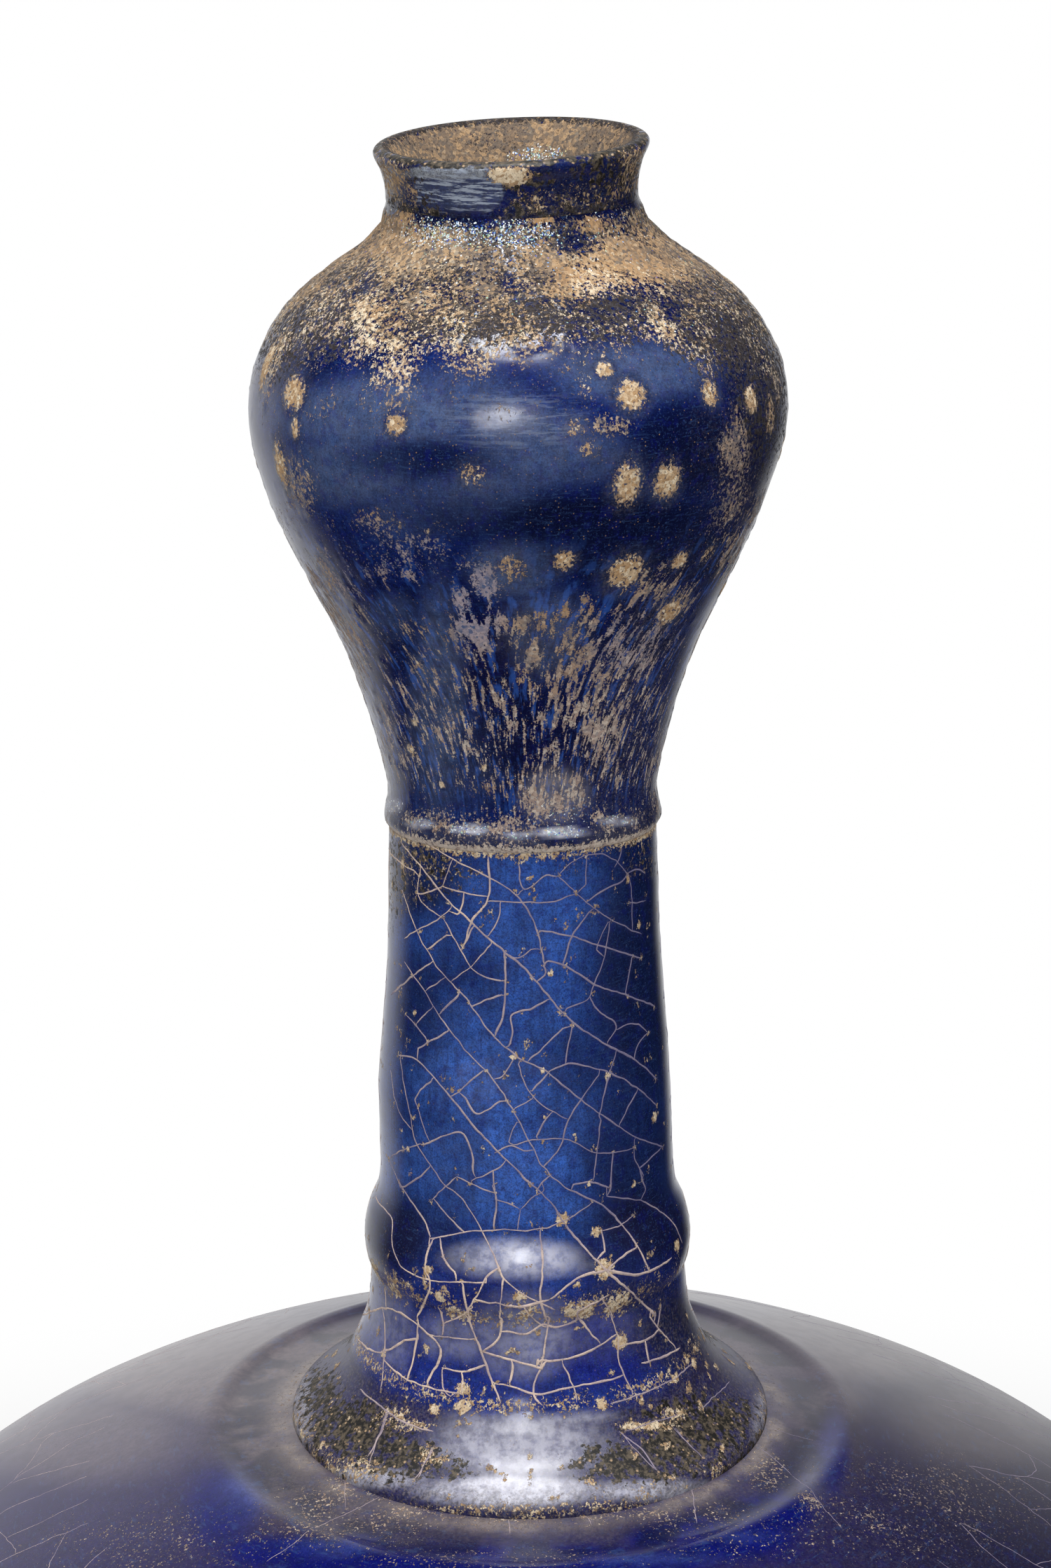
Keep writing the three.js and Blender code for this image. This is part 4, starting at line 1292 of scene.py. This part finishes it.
def split_cells(corners, area, random):
    """Cuts a flat cell again and again across its length, and gives the cuts as pairs of points."""
    cuts = []
    waiting = [corners]
    while waiting:
        cell = waiting.pop()
        after = np.roll(cell, -1, axis=0)
        size = abs(np.sum(cell[:, 0] * after[:, 1] - after[:, 0] * cell[:, 1])) / 2
        if size < area * random.uniform(0.7, 2.6) or len(cell) < 3:
            continue
        centre = cell.mean(axis=0)
        offsets = cell - centre
        long_way = np.linalg.eigh(offsets.T @ offsets)[1][:, 1]
        turn = random.normal(0, 0.32)
        across = np.array([
            long_way[0] * math.cos(turn) - long_way[1] * math.sin(turn),
            long_way[0] * math.sin(turn) + long_way[1] * math.cos(turn),
        ])
        centre = centre + long_way * random.uniform(-0.16, 0.16) * math.sqrt(size)
        sides = (cell - centre) @ across
        hits = []
        for index in range(len(cell)):
            following = (index + 1) % len(cell)
            if sides[index] * sides[following] < 0:
                share = sides[index] / (sides[index] - sides[following])
                hits.append((index, cell[index] + share * (cell[following] - cell[index])))
        if len(hits) != 2:
            continue
        (first, start), (second, end) = hits
        cuts.append((start, end))
        waiting.append(np.vstack([start, cell[first + 1 : second + 1], end]))
        waiting.append(np.vstack([end, cell[second + 1 :], cell[: first + 1], start]))
    return cuts


def cut_cracks(skin, low_row, high_row, area, seed, unseen_only):
    """Seeded cracks between two rows, on every side or only where the camera does not look."""
    random = np.random.default_rng(seed)
    girth = 2 * math.pi * skin.outline[low_row:high_row, 0].mean()
    along = length_along(skin.outline)
    height = along[high_row] - along[low_row]
    slant = CRACK_SLANT * height
    lines = []
    for strip in range(CRACK_STRIPS):
        left = girth * strip / CRACK_STRIPS
        right = girth * (strip + 1) / CRACK_STRIPS
        corners = np.array([[left, 0], [right, 0], [right - slant, height], [left - slant, height]])
        lines.append((corners[0], corners[3]))
        lines.extend(split_cells(corners, area, random))
    paths = []
    for start, end in lines:
        count = max(2, int(np.linalg.norm(end - start) / CRACK_STEP))
        flat = start + (end - start) * np.linspace(0, 1, count + 1)[:, None]
        ring = circle(flat[:, 0] / girth * 2 * math.pi) * girth / (2 * math.pi)
        ring[:, 2] = flat[:, 1]
        broad = np.stack([value_noise(ring, 6 * MM, seed + way) for way in (1, 2)], axis=1)
        small = np.stack([value_noise(ring, 2 * MM, seed + way) for way in (3, 4)], axis=1)
        sway = broad - 0.5 + 0.35 * (small - 0.5)
        flat = flat + 2 * CRACK_WARP * sway
        rows = np.interp(flat[:, 1] + along[low_row], along, np.arange(skin.rows))
        columns = flat[:, 0] / girth * skin.columns
        kept = (flat[:, 1] > 0) & (flat[:, 1] < height)
        if unseen_only:
            kept &= facing_camera(*skin.place(rows, columns)) < HIDDEN_FACING
        runs = np.split(np.arange(len(kept)), np.flatnonzero(np.diff(kept.astype(int))) + 1)
        for run in runs:
            if kept[run[0]] and len(run) > 2:
                paths.append(np.stack([rows[run], columns[run]], axis=1))
    return paths


def lay_ribbons(name, skin, paths, width, height, fade, seed, material):
    """Lays closed raised ribbons of dirt along the cracks, on the skin, and gives their middle points."""
    random = np.random.default_rng(seed)
    all_points, all_faces, middles = [], [], []
    for path in paths:
        points, _ = skin.place(path[:, 0], path[:, 1])
        length = length_along(points)
        if length[-1] < SHORTEST_CRACK:
            continue
        count = max(3, int(length[-1] / CRACK_STEP))
        wanted = np.linspace(0, length[-1], count + 1)
        rows = np.interp(wanted, length, path[:, 0])
        columns = np.interp(wanted, length, path[:, 1])
        points, outward = skin.place(rows, columns)
        shaken = points * 1.0
        for axis in range(3):
            shaken[:, axis] += CRACK_SHAKE * 2 * (value_noise(points, 0.9 * MM, seed + axis) - 0.5)
        middle = shaken + outward * np.sum((points - shaken) * outward, axis=1)[:, None]
        forward = unit(np.gradient(middle, axis=0))
        sideways = unit(np.cross(outward, forward))
        own = random.uniform(0.7, 1.25)
        swell = 0.6 + 0.8 * value_noise(points, 1.6 * MM, seed + 7)
        taper = np.minimum(np.arange(count + 1), np.arange(count + 1)[::-1])
        wide = 1 + LOW_CRACK_GAIN * smooth_step(points[:, 2], *UNDER_TUBE)
        wide -= COLLAR_CRACK_LOSS * smooth_step(points[:, 2], *ONTO_COLLAR)
        half = (width / 2 * own * swell * wide * np.clip(0.35 + taper / 3, 0, 1))[:, None]
        ring = [
            middle - sideways * half - outward * RIBBON_EDGE_DEPTH,
            middle + outward * height,
            middle + sideways * half - outward * RIBBON_EDGE_DEPTH,
            middle - outward * RIBBON_KEEL_DEPTH,
        ]
        start = sum(len(block) for block in all_points)
        ends = [(3, 2, 1, 0), 4 * count + np.arange(4)]
        all_points.append(np.stack(ring, axis=1).reshape(-1, 3))
        all_faces.append(start + np.vstack([ring_faces(count + 1, 4)[:-4], *ends]))
        middles.append(middle)
    all_points = np.vstack(all_points)
    piece = make_object(name, all_points, np.vstack(all_faces), material)
    store(piece, "fade", fade(all_points))
    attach(piece, "root")
    return np.vstack(middles)


def neck_fade(points):
    """Cracks are palest low down and at the upper left, and dim on the right of the tube."""
    tube = smooth_step(points[:, 2], *UNDER_TUBE[::-1])
    right = smooth_step(points[:, 0], -8 * MM, 15 * MM)
    left_top = smooth_step(points[:, 2], 196 * MM, 212 * MM) * smooth_step(points[:, 0], 0, -8 * MM)
    on_collar = 0.45 * smooth_step(points[:, 2], *ONTO_COLLAR)
    return np.clip((0.5 + 0.35 * right - 0.6 * left_top) * tube + 0.25 * right * (1 - tube) + on_collar, 0, 1)


def body_fade(points):
    """Cracks on the body are dim, and more so on the right."""
    return 0.4 + 0.3 * smooth_step(points[:, 0], 0, 40 * MM)


def nearness(skin, middles, reach):
    """1 at the cracks, falling away from them."""
    tree = KDTree(len(middles))
    for index, point in enumerate(middles):
        tree.insert(Vector(point), index)
    tree.balance()
    distance = np.array([tree.find(Vector(point))[2] for point in skin.points])
    return bell(distance, 0, reach)


# Materials

class Recipe:
    """A node tree, with a short call for each kind of node that is used here."""

    def __init__(self, owner, shader="Principled BSDF", coordinates="Object"):
        owner.use_nodes = True
        self.tree = owner.node_tree
        self.shader = self.tree.nodes[shader]
        self.place = self.add("ShaderNodeTexCoord").outputs[coordinates]

    def add(self, kind, inputs=None, **settings):
        node = self.tree.nodes.new(kind)
        for setting, value in settings.items():
            setattr(node, setting, value)
        for key, value in (inputs or {}).items():
            self.plug(node.inputs[key], value)
        return node

    def plug(self, socket, value):
        if isinstance(value, bpy.types.NodeSocket):
            self.tree.links.new(value, socket)
        elif isinstance(value, np.ndarray) and socket.type == "RGBA":
            socket.default_value = (*value, 1)
        else:
            socket.default_value = value

    def math(self, operation, first, second=0.0, clamp=False):
        node = self.add("ShaderNodeMath", {0: first, 1: second}, operation=operation, use_clamp=clamp)
        return node.outputs[0]

    def plus(self, first, second):
        return self.math("ADD", first, second)

    def minus(self, first, second):
        return self.math("SUBTRACT", first, second)

    def times(self, first, second):
        return self.math("MULTIPLY", first, second)

    def shade(self, socket, value):
        self.plug(self.shader.inputs[socket], value)

    def attribute(self, name, output):
        return self.add("ShaderNodeAttribute", attribute_name=name).outputs[output]

    def ramp(self, value, low, high, to_low=0.0, to_high=1.0):
        inputs = {"Value": value, "From Min": low, "From Max": high, "To Min": to_low, "To Max": to_high}
        node = self.add("ShaderNodeMapRange", inputs, interpolation_type="SMOOTHSTEP")
        return node.outputs["Result"]

    def mix(self, share, first, second):
        node = self.add("ShaderNodeMix", {0: share, 6: first, 7: second}, data_type="RGBA")
        return node.outputs[2]

    def between(self, share, first, second):
        node = self.add("ShaderNodeMix", {0: share, 2: first, 3: second}, data_type="FLOAT")
        return node.outputs[0]

    def layered(self, base, layers):
        """The base colour under one layer after another, each as a mask, its strength and a colour."""
        for mask, strength, colour in layers:
            base = self.mix(self.times(mask, strength), base, colour)
        return base

    def stretched(self, factors):
        return self.add("ShaderNodeVectorMath", {0: self.place, 1: factors}, operation="MULTIPLY").outputs[0]

    def noise(self, place, scale, detail=3.0, roughness=0.55):
        inputs = {"Vector": place, "Scale": scale, "Detail": detail, "Roughness": roughness}
        return self.add("ShaderNodeTexNoise", inputs).outputs["Fac"]

    def blotches(self, scale, detail, roughness, low, high, to_low=0.0, to_high=1.0, place=None):
        """Noise with its middle drawn apart, so that it falls into dark and light places."""
        place = self.place if place is None else place
        return self.ramp(self.noise(place, scale, detail, roughness), low, high, to_low, to_high)

    def cells(self, scale):
        """The distance to the middle of each cell, and three random numbers for the cell."""
        node = self.add("ShaderNodeTexVoronoi", {"Vector": self.place, "Scale": scale})
        parts = self.add("ShaderNodeSeparateColor", {0: node.outputs["Color"]}).outputs
        return node.outputs["Distance"], parts[0], parts[1], parts[2]

    def dots(self, scale, outer, inner, rarity):
        """Round dots in some of the cells."""
        distance, chosen, _, _ = self.cells(scale)
        return self.times(self.ramp(distance, outer, inner), self.math("GREATER_THAN", chosen, rarity))

    def bump(self, height, distance, strength=1.0):
        inputs = {"Height": height, "Distance": distance, "Strength": strength}
        self.shade("Normal", self.add("ShaderNodeBump", inputs).outputs["Normal"])


def new_material(name):
    """A new material, and the recipe that fills it."""
    material = bpy.data.materials.new(name)
    recipe = Recipe(material)
    recipe.shade("IOR", 1.5)
    return material, recipe


FIELD_NAMES = (
    "crust", "streak", "tone", "cool", "ochre", "ground", "grime", "dust", "film_and_sheen", "soot",
    "brushed", "sparkle", "specks", "near_crack", "even_dust",
)
GLINTS = (
    (0.0, (226, 236, 240)), (0.28, (120, 160, 206)), (0.46, (168, 206, 186)), (0.58, (206, 190, 140)),
    (0.7, (44, 74, 170)), (0.84, (244, 248, 250)),
)


def powder_colours(r, field, fine):
    """The dry crust: grains of many browns, with pits between them."""
    _, first, second, third = r.cells(2500)
    broad = r.noise(r.place, 260, 3, 0.6)
    warmth = r.plus(r.plus(field["tone"], r.times(r.minus(first, 0.5), 0.7)), r.minus(broad, 0.5))
    paleness = r.plus(field["tone"], r.times(r.minus(second, 0.5), 0.9))
    powder = r.mix(r.ramp(warmth, 0.05, 0.55), GREY_BROWN, TAN)
    powder = r.mix(r.ramp(paleness, 0.45, 1.05), powder, CREAM)
    return r.layered(powder, (
        (0.75, field["cool"], r.mix(r.ramp(third, 0.45, 1), LILAC_GREY, STEEL)),
        (field["ochre"], r.ramp(third, 0.1, 0.7), OCHRE),
        (r.blotches(5200, 2, 0.6, 0.52, 0.66), r.plus(0.35, r.times(field["grime"], 0.6)), UMBER),
        (r.ramp(fine, 0.6, 0.7), r.plus(0.3, r.times(field["grime"], 0.4)), UMBER),
    ))


def glass_colours(r, field, runs, cloud, film_and_highlight):
    """The glaze itself: clouded, filmed over and painted with pale highlights and sheen, specked and brushed.
    """
    even = field["even_dust"]
    tint = r.attribute("tint", "Color")
    glass = r.mix(r.times(cloud, 0.5), tint, r.mix(0.5, tint, NAVY))
    drips = r.blotches(1500, 4, 0.7, 0.46, 0.64, place=r.stretched((1, 1, 0.14)))
    scratches = r.blotches(4200, 3, 0.7, 0.56, 0.68, place=r.stretched((0.1, 0.1, 1)))
    strokes = r.blotches(2200, 4, 0.74, 0.49, 0.58, place=r.stretched((0.12, 0.12, 1)))
    pale_runs = r.blotches(1300, 3, 0.6, 0.52, 0.66, place=r.attribute("drawn", "Vector"))
    return r.layered(glass, (
        (r.blotches(1500, 3, 0.6, 0.35, 0.7), 0.3, DARK_BAND),
        (r.blotches(640, 4, 0.7, 0.5, 0.64), r.between(even, 0.42, 0), PURE_BLUE),
        (r.blotches(4800, 3, 0.7, 0.44, 0.62), r.between(even, 0.6, 0.1), DARK_BAND),
        (r.blotches(3300, 3, 0.75, 0.54, 0.68), r.between(even, 0.4, 0), STEEL),
        (drips, r.between(even, 0.3, 0), DARK_BAND),
        (scratches, 0.22, STEEL),
        (field["streak"], r.ramp(runs, 0.5, 0.6, 0, 0.6), DARK_BAND),
        (r.times(field["streak"], pale_runs), 0.35, BRIGHT_COBALT),
        (film_and_highlight, 0.88, FILM_AND_HIGHLIGHT_WHITE),
        (r.times(strokes, field["brushed"]), 0.95, PALE_STEEL),
        (r.dots(2400, 0.26, 0.1, 0.74), field["specks"], SPECK),
    ))


def glint_colours(r, chance):
    """Small flakes of shine, each of one of a few colours."""
    glint = r.add("ShaderNodeValToRGB", {"Fac": chance})
    glint.color_ramp.interpolation = "CONSTANT"
    elements = glint.color_ramp.elements
    for index, (position, colour) in enumerate(GLINTS):
        element = elements[index] if index < 2 else elements.new(position)
        element.position = position
        element.color = (*linear(*colour), 1)
    return glint.outputs["Color"]


def glaze_material():
    """Cobalt glaze under dust, soot and crust, each where its field says."""
    material, r = new_material("worn_cobalt_glaze")
    field = {name: r.attribute(name, "Fac") for name in FIELD_NAMES}
    even = field["even_dust"]
    fine = r.noise(r.place, 3800, 3, 0.62)
    runs = r.noise(r.attribute("drawn", "Vector"), 1700, 5, 0.68)
    grain = r.between(field["streak"], r.noise(r.stretched((1, 1, 0.75)), 2100, 5, 0.76), runs)
    crust_grain = r.ramp(r.plus(r.times(grain, 0.72), r.times(fine, 0.28)), 0.37, 0.64)
    crusted = r.ramp(r.minus(field["crust"], crust_grain), 0, 0.08)

    cloud = r.blotches(420, 4, 0.6, 0.35, 0.68)
    # The film field holds real film and painted highlights, sheen and reflections, laid on as pale colour
    film_and_highlight = r.times(field["film_and_sheen"], r.between(even, r.blotches(700, 4, 0.66, 0.34, 0.62, 0.5, 1), 0.8))
    veil = r.between(field["streak"], r.noise(r.place, 1800, 4, 0.7), runs)
    dusty = r.times(field["dust"], r.between(even, r.ramp(veil, 0.42, 0.6, 0.12, 1), 0.5))
    dust_grain = r.between(even, r.blotches(3000, 2, 0.6, 0.4, 0.62), 0.75)
    glass = glass_colours(r, field, runs, cloud, film_and_highlight)
    glass = r.mix(r.times(dusty, 0.75), glass, r.mix(dust_grain, DUST_DARK, DUST_PALE))

    sooty = r.ramp(r.minus(field["soot"], r.blotches(900, 4, 0.65, 0.34, 0.66)), 0, 0.25)
    soil = r.mix(r.blotches(1500, 4, 0.7, 0.44, 0.62), SOOT, OLIVE)
    soil = r.mix(r.dots(1500, 0.36, 0.14, 0.68), soil, TAN)
    glass = r.mix(sooty, glass, soil)
    glass = r.mix(r.times(field["near_crack"], 0.35), glass, CRACK_HALO)

    under = r.ramp(r.minus(field["ground"], r.blotches(1600, 4, 0.72, 0.36, 0.64)), 0, 0.3)
    slate = r.mix(r.blotches(2400, 3, 0.65, 0.46, 0.62), UMBER, SLATE)
    painted = r.mix(crusted, r.mix(under, glass, slate), powder_colours(r, field, fine))
    _, lot, chance, _ = r.cells(6200)
    lit = r.math("LESS_THAN", lot, r.times(field["sparkle"], r.ramp(grain, 0.35, 0.6)))
    r.shade("Base Color", r.mix(r.times(lit, 0.85), painted, glint_colours(r, chance)))

    dry = r.math("MAXIMUM", r.math("MAXIMUM", crusted, r.times(under, 0.8)), r.times(field["dust"], 0.4))
    rough = r.plus(r.ramp(cloud, 0, 1, 0.16, 0.18), r.times(film_and_highlight, 0.08))
    rough = r.math("ADD", rough, r.times(sooty, 0.35), clamp=True)
    rough = r.plus(rough, r.times(field["brushed"], 0.35))
    r.shade("Roughness", r.between(dry, rough, 0.9))
    r.shade("Specular IOR Level", r.between(dry, 0.5, 0.12))
    height = r.times(r.math("MAXIMUM", crusted, r.times(under, 0.5)), r.plus(0.6, fine))
    height = r.plus(height, r.times(sooty, 0.2))
    height = r.plus(height, r.times(r.plus(r.times(film_and_highlight, 0.4), field["brushed"]), r.times(fine, 0.3)))
    r.bump(height, 0.1 * MM, 0.85)
    return material


def dirt_material():
    """Packed dirt in the cracks of the glaze, fading where a crack is fine."""
    material, r = new_material("crack_dirt")
    fine = r.noise(r.place, 3200, 3, 0.6)
    colour = r.mix(r.blotches(320, 3, 0.6, 0.32, 0.62), CRACK_DIM, CRACK_PALE)
    colour = r.mix(r.ramp(fine, 0.52, 0.7, 0, 0.45), colour, UMBER)
    r.shade("Base Color", r.mix(r.attribute("fade", "Fac"), colour, CRACK_FADED))
    r.shade("Roughness", r.ramp(fine, 0.3, 0.7, 0.75, 0.95))
    r.bump(fine, 0.03 * MM, 0.6)
    return material


def paste_material():
    """Fired buff stonepaste with sandy grain and stained patches."""
    material, r = new_material("buff_stonepaste")
    sand = r.noise(r.place, 2800, 4, 0.7)
    colour = r.mix(r.blotches(90, 4, 0.6, 0.35, 0.7), PASTE, PASTE_DARK)
    colour = r.mix(r.ramp(sand, 0.52, 0.7, 0, 0.6), colour, UMBER)
    r.shade("Base Color", r.mix(r.blotches(1400, 2, 0.5, 0.6, 0.7, 0, 0.7), colour, CREAM))
    r.shade("Roughness", r.ramp(sand, 0.3, 0.7, 0.8, 0.95))
    r.bump(sand, 0.12 * MM, 0.8)
    return material


GLAZE = glaze_material()
DIRT = dirt_material()
STONEPASTE = paste_material()

# The four coats

COAT_SHARP = math.radians(55)


def build_coat(name, skin):
    """The closed shell of a coat: its skin outside, and its own plain profile inside."""
    inner = crook(revolve(skin.inner, skin.columns))
    points = np.vstack([skin.points, inner])
    faces = ring_faces(skin.rows + len(skin.inner), skin.columns)
    piece = make_object(name, points, faces, GLAZE)
    piece.data.set_sharp_from_angle(angle=COAT_SHARP)
    for field in FIELD_NAMES:
        values = skin.fields.get(field, np.zeros(len(skin.true)))
        store(piece, field, np.r_[np.clip(values, 0, 1), np.zeros(len(inner))])
    store(piece, "tint", np.vstack([skin.fields["tint"], np.tile(COBALT, (len(inner), 1))]))
    store(piece, "drawn", np.vstack([skin.drawn(), inner]))
    hand_over(piece, skin.node)


mouth = Skin("glaze_mouth", WAIST_LEVEL, 336, 0.24 * MM)
bulb = Skin("glaze_bulb", JOINT_LEVEL, 448, 0.47 * MM)
neck = Skin("glaze_neck", SEAT_LEVEL, 384, 0.42 * MM)
body = Skin("glaze_body", BARE_LEVEL, 512, 0.98 * MM, rim=-0.25, ring_cell=24 * MM)
for skin, paint in ((mouth, paint_mouth), (bulb, paint_bulb), (neck, paint_neck), (body, paint_body)):
    paint(skin)
    skin.settle()

# Cracks on the neck, its foot, the collar and the body
TRACINGS = (
    (NECK_VIEW, NECK_CRACKS), (HIGH_NECK_VIEW, HIGH_NECK_CRACKS), (LOW_NECK_VIEW, LOW_NECK_CRACKS),
    (TORUS_VIEW, TORUS_CRACKS), (RING_VIEW, RING_CRACKS), (FOOT_VIEW, FOOT_CRACKS),
)
neck_paths = []
for view, listed in TRACINGS:
    neck_paths += trace_cracks(neck, view, listed)
neck_paths = join_ends(neck, neck_paths, JOIN_REACH)
neck_paths += trace_cracks(neck, COLLAR_VIEW, COLLAR_CRACKS)
neck_low_row = int(np.argmin(np.abs(neck.outline[:, 1] - LAST_TRACED_LEVEL)))
neck_paths += cut_cracks(neck, neck_low_row, neck.rows - 2, CRACK_CELL_AREA, 501, unseen_only=True)
neck_middles = lay_ribbons("neck_crackle", neck, neck_paths, CRACK_WIDTH, CRACK_HEIGHT, neck_fade, 511, DIRT)
neck.fields["near_crack"] = nearness(neck, neck_middles, HALO_REACH)
random = np.random.default_rng(521)
ends = np.vstack([neck.place(path[:, 0], path[:, 1])[0][[0, -1]] for path in neck_paths])
knots = nearness(neck, ends[random.random(len(ends)) < KNOT_SHARE], KNOT_REACH)
neck.fields["crust"] = np.maximum(neck.fields["crust"], 0.8 * knots)
body_paths = trace_cracks(body, COLLAR_VIEW, SHOULDER_CRACKS)
body_top_row = body.rows - BODY_ROWS_ABOVE_CRACKS
body_paths += cut_cracks(body, BODY_ROWS_BELOW_CRACKS, body_top_row, BODY_CELL_AREA, 541, unseen_only=False)
lay_ribbons("body_crackle", body, body_paths, BODY_CRACK_WIDTH, FINE_HEIGHT, body_fade, 551, DIRT)

for name, skin in (("mouth_glaze", mouth), ("bulb_glaze", bulb), ("neck_glaze", neck), ("body_glaze", body)):
    build_coat(name, skin)

# The paste sections, re-turned smoothly from their own profiles

PASTE_COLUMNS = 160
PASTE_SHARP = math.radians(35)
PASTE_NODES = (
    "foot_ring", "body_lower", "body_upper", "neck_collar",
    "neck_tube", "bulb_lower", "bulb_upper", "mouth_rim",
)
for node in PASTE_NODES:
    loop = profile_loop(node)
    points = crook(revolve(loop, PASTE_COLUMNS))
    piece = make_object(node + "_turned", points, ring_faces(len(loop), PASTE_COLUMNS), STONEPASTE)
    piece.data.set_sharp_from_angle(angle=PASTE_SHARP)
    hand_over(piece, node)

# Floor, light and camera

FLOOR_RADIUS = 1.2
FLOOR_CORNERS = 96
SHADOW_RADIUS = 0.2
WHITE_RADIUS = 0.34
FLOOR_COLOUR = linear(216, 216, 216)
FLOOR_SHADE = linear(208, 208, 208)
AMBIENT = 0.6
KEY_DISTANCE = 1.0
KEY_WIDTH = 0.42
KEY_LENGTH = 0.44
KEY_POWER = 12
KEY_SIDE = math.radians(5)
KEY_RISE = math.radians(75)
LOW_DISTANCE = 1.2
LOW_SIZE = 0.2
LOW_POWER = 3.2
LOW_SIDE = math.radians(5)
LOW_RISE = math.radians(23)

# Mirror images in the glaze: dark in front, white at the back, and more of it on the left than the right
FRONT_GLOSS = 0.015
BACK_GLOSS = 0.85
GLOSS_LEFTWARD = 0.3
GLOSS_START = 0.55
GLOSS_FULL = 0.95


def mirror_light(r, direction):
    """How bright a mirror image is, by the direction that it shows."""
    parts = r.add("ShaderNodeSeparateXYZ", {0: direction}).outputs
    behind = r.minus(parts["Y"], r.times(parts["X"], GLOSS_LEFTWARD))
    return r.ramp(behind, GLOSS_START, GLOSS_FULL, FRONT_GLOSS, BACK_GLOSS)


def seen_directly(r, path):
    """1 for what the camera sees itself, past the bottle."""
    return r.math("MAXIMUM", path["Is Camera Ray"], path["Is Transmission Ray"])


def glow(r, strength):
    """White light of the given strength."""
    return r.add("ShaderNodeEmission", {"Color": (1, 1, 1, 1), "Strength": strength}).outputs[0]


def floor_material():
    """A pale floor that keeps the shadow near the bottle and turns to plain white further out."""
    material, r = new_material("pale_floor")
    r.shade("Base Color", r.mix(r.noise(r.place, 14, 2, 0.5), FLOOR_COLOUR, FLOOR_SHADE))
    r.shade("Roughness", 0.8)
    path = r.add("ShaderNodeLightPath").outputs
    away = r.add("ShaderNodeVectorMath", {0: r.place}, operation="LENGTH").outputs["Value"]
    far = r.ramp(away, SHADOW_RADIUS, WHITE_RADIUS)
    outward = r.add("ShaderNodeVectorMath", {0: r.place}, operation="NORMALIZE").outputs[0]
    mirrored = glow(r, mirror_light(r, outward))
    base = r.add("ShaderNodeMixShader", {0: path["Is Glossy Ray"], 1: r.shader.outputs[0], 2: mirrored})
    white = r.times(far, seen_directly(r, path))
    mixed = r.add("ShaderNodeMixShader", {0: white, 1: base.outputs[0], 2: glow(r, 1.0)})
    r.plug(r.tree.nodes["Material Output"].inputs["Surface"], mixed.outputs[0])
    return material


def light_world():
    """White where the camera looks, directional where the glaze mirrors it, and even for all else."""
    world = bpy.data.worlds.new("studio")
    bpy.context.scene.world = world
    r = Recipe(world, "Background", "Generated")
    path = r.add("ShaderNodeLightPath").outputs
    level = r.between(path["Is Glossy Ray"], AMBIENT, mirror_light(r, r.place))
    r.shade("Strength", r.between(seen_directly(r, path), level, 1.0))
    r.shade("Color", (1, 1, 1, 1))


floor_edge = circle(np.arange(FLOOR_CORNERS) * 2 * math.pi / FLOOR_CORNERS) * FLOOR_RADIUS
floor = make_object("floor", floor_edge, [range(FLOOR_CORNERS)], floor_material())
light_world()


def add_softbox(name, side, rise, distance, size, power):
    """An area lamp that looks at the bottle, given by its angle to the left of the front and its height."""
    aim = Vector((0, 0, AIM_LEVEL))
    away = Vector((-math.sin(side) * math.cos(rise), -math.cos(side) * math.cos(rise), math.sin(rise)))
    lamp = bpy.data.lights.new(name, "AREA")
    lamp.shape = "RECTANGLE"
    lamp.size, lamp.size_y = size
    lamp.energy = power
    holder = bpy.data.objects.new(name, lamp)
    holder.location = aim + away * distance
    holder.rotation_euler = away.to_track_quat("Z", "Y").to_euler()
    bpy.context.scene.collection.objects.link(holder)


add_softbox("key_softbox", KEY_SIDE, KEY_RISE, KEY_DISTANCE, (KEY_WIDTH, KEY_LENGTH), KEY_POWER)
add_softbox("low_softbox", LOW_SIDE, LOW_RISE, LOW_DISTANCE, (LOW_SIZE, LOW_SIZE), LOW_POWER)

camera_data = bpy.data.cameras.new("camera")
camera_data.sensor_width = SENSOR_WIDTH
camera_data.lens = FOCAL_PIXELS * SENSOR_WIDTH / PHOTO_HEIGHT
camera_data.clip_start = 0.02
camera = bpy.data.objects.new("camera", camera_data)
camera_columns = np.stack([CAMERA_RIGHT, CAMERA_UP, -CAMERA_FORWARD, CAMERA_PLACE], axis=1)
camera.matrix_world = Matrix((*camera_columns.tolist(), (0, 0, 0, 1)))
bpy.context.scene.collection.objects.link(camera)
bpy.context.scene.camera = camera
bpy.context.scene.view_settings.view_transform = "Standard"
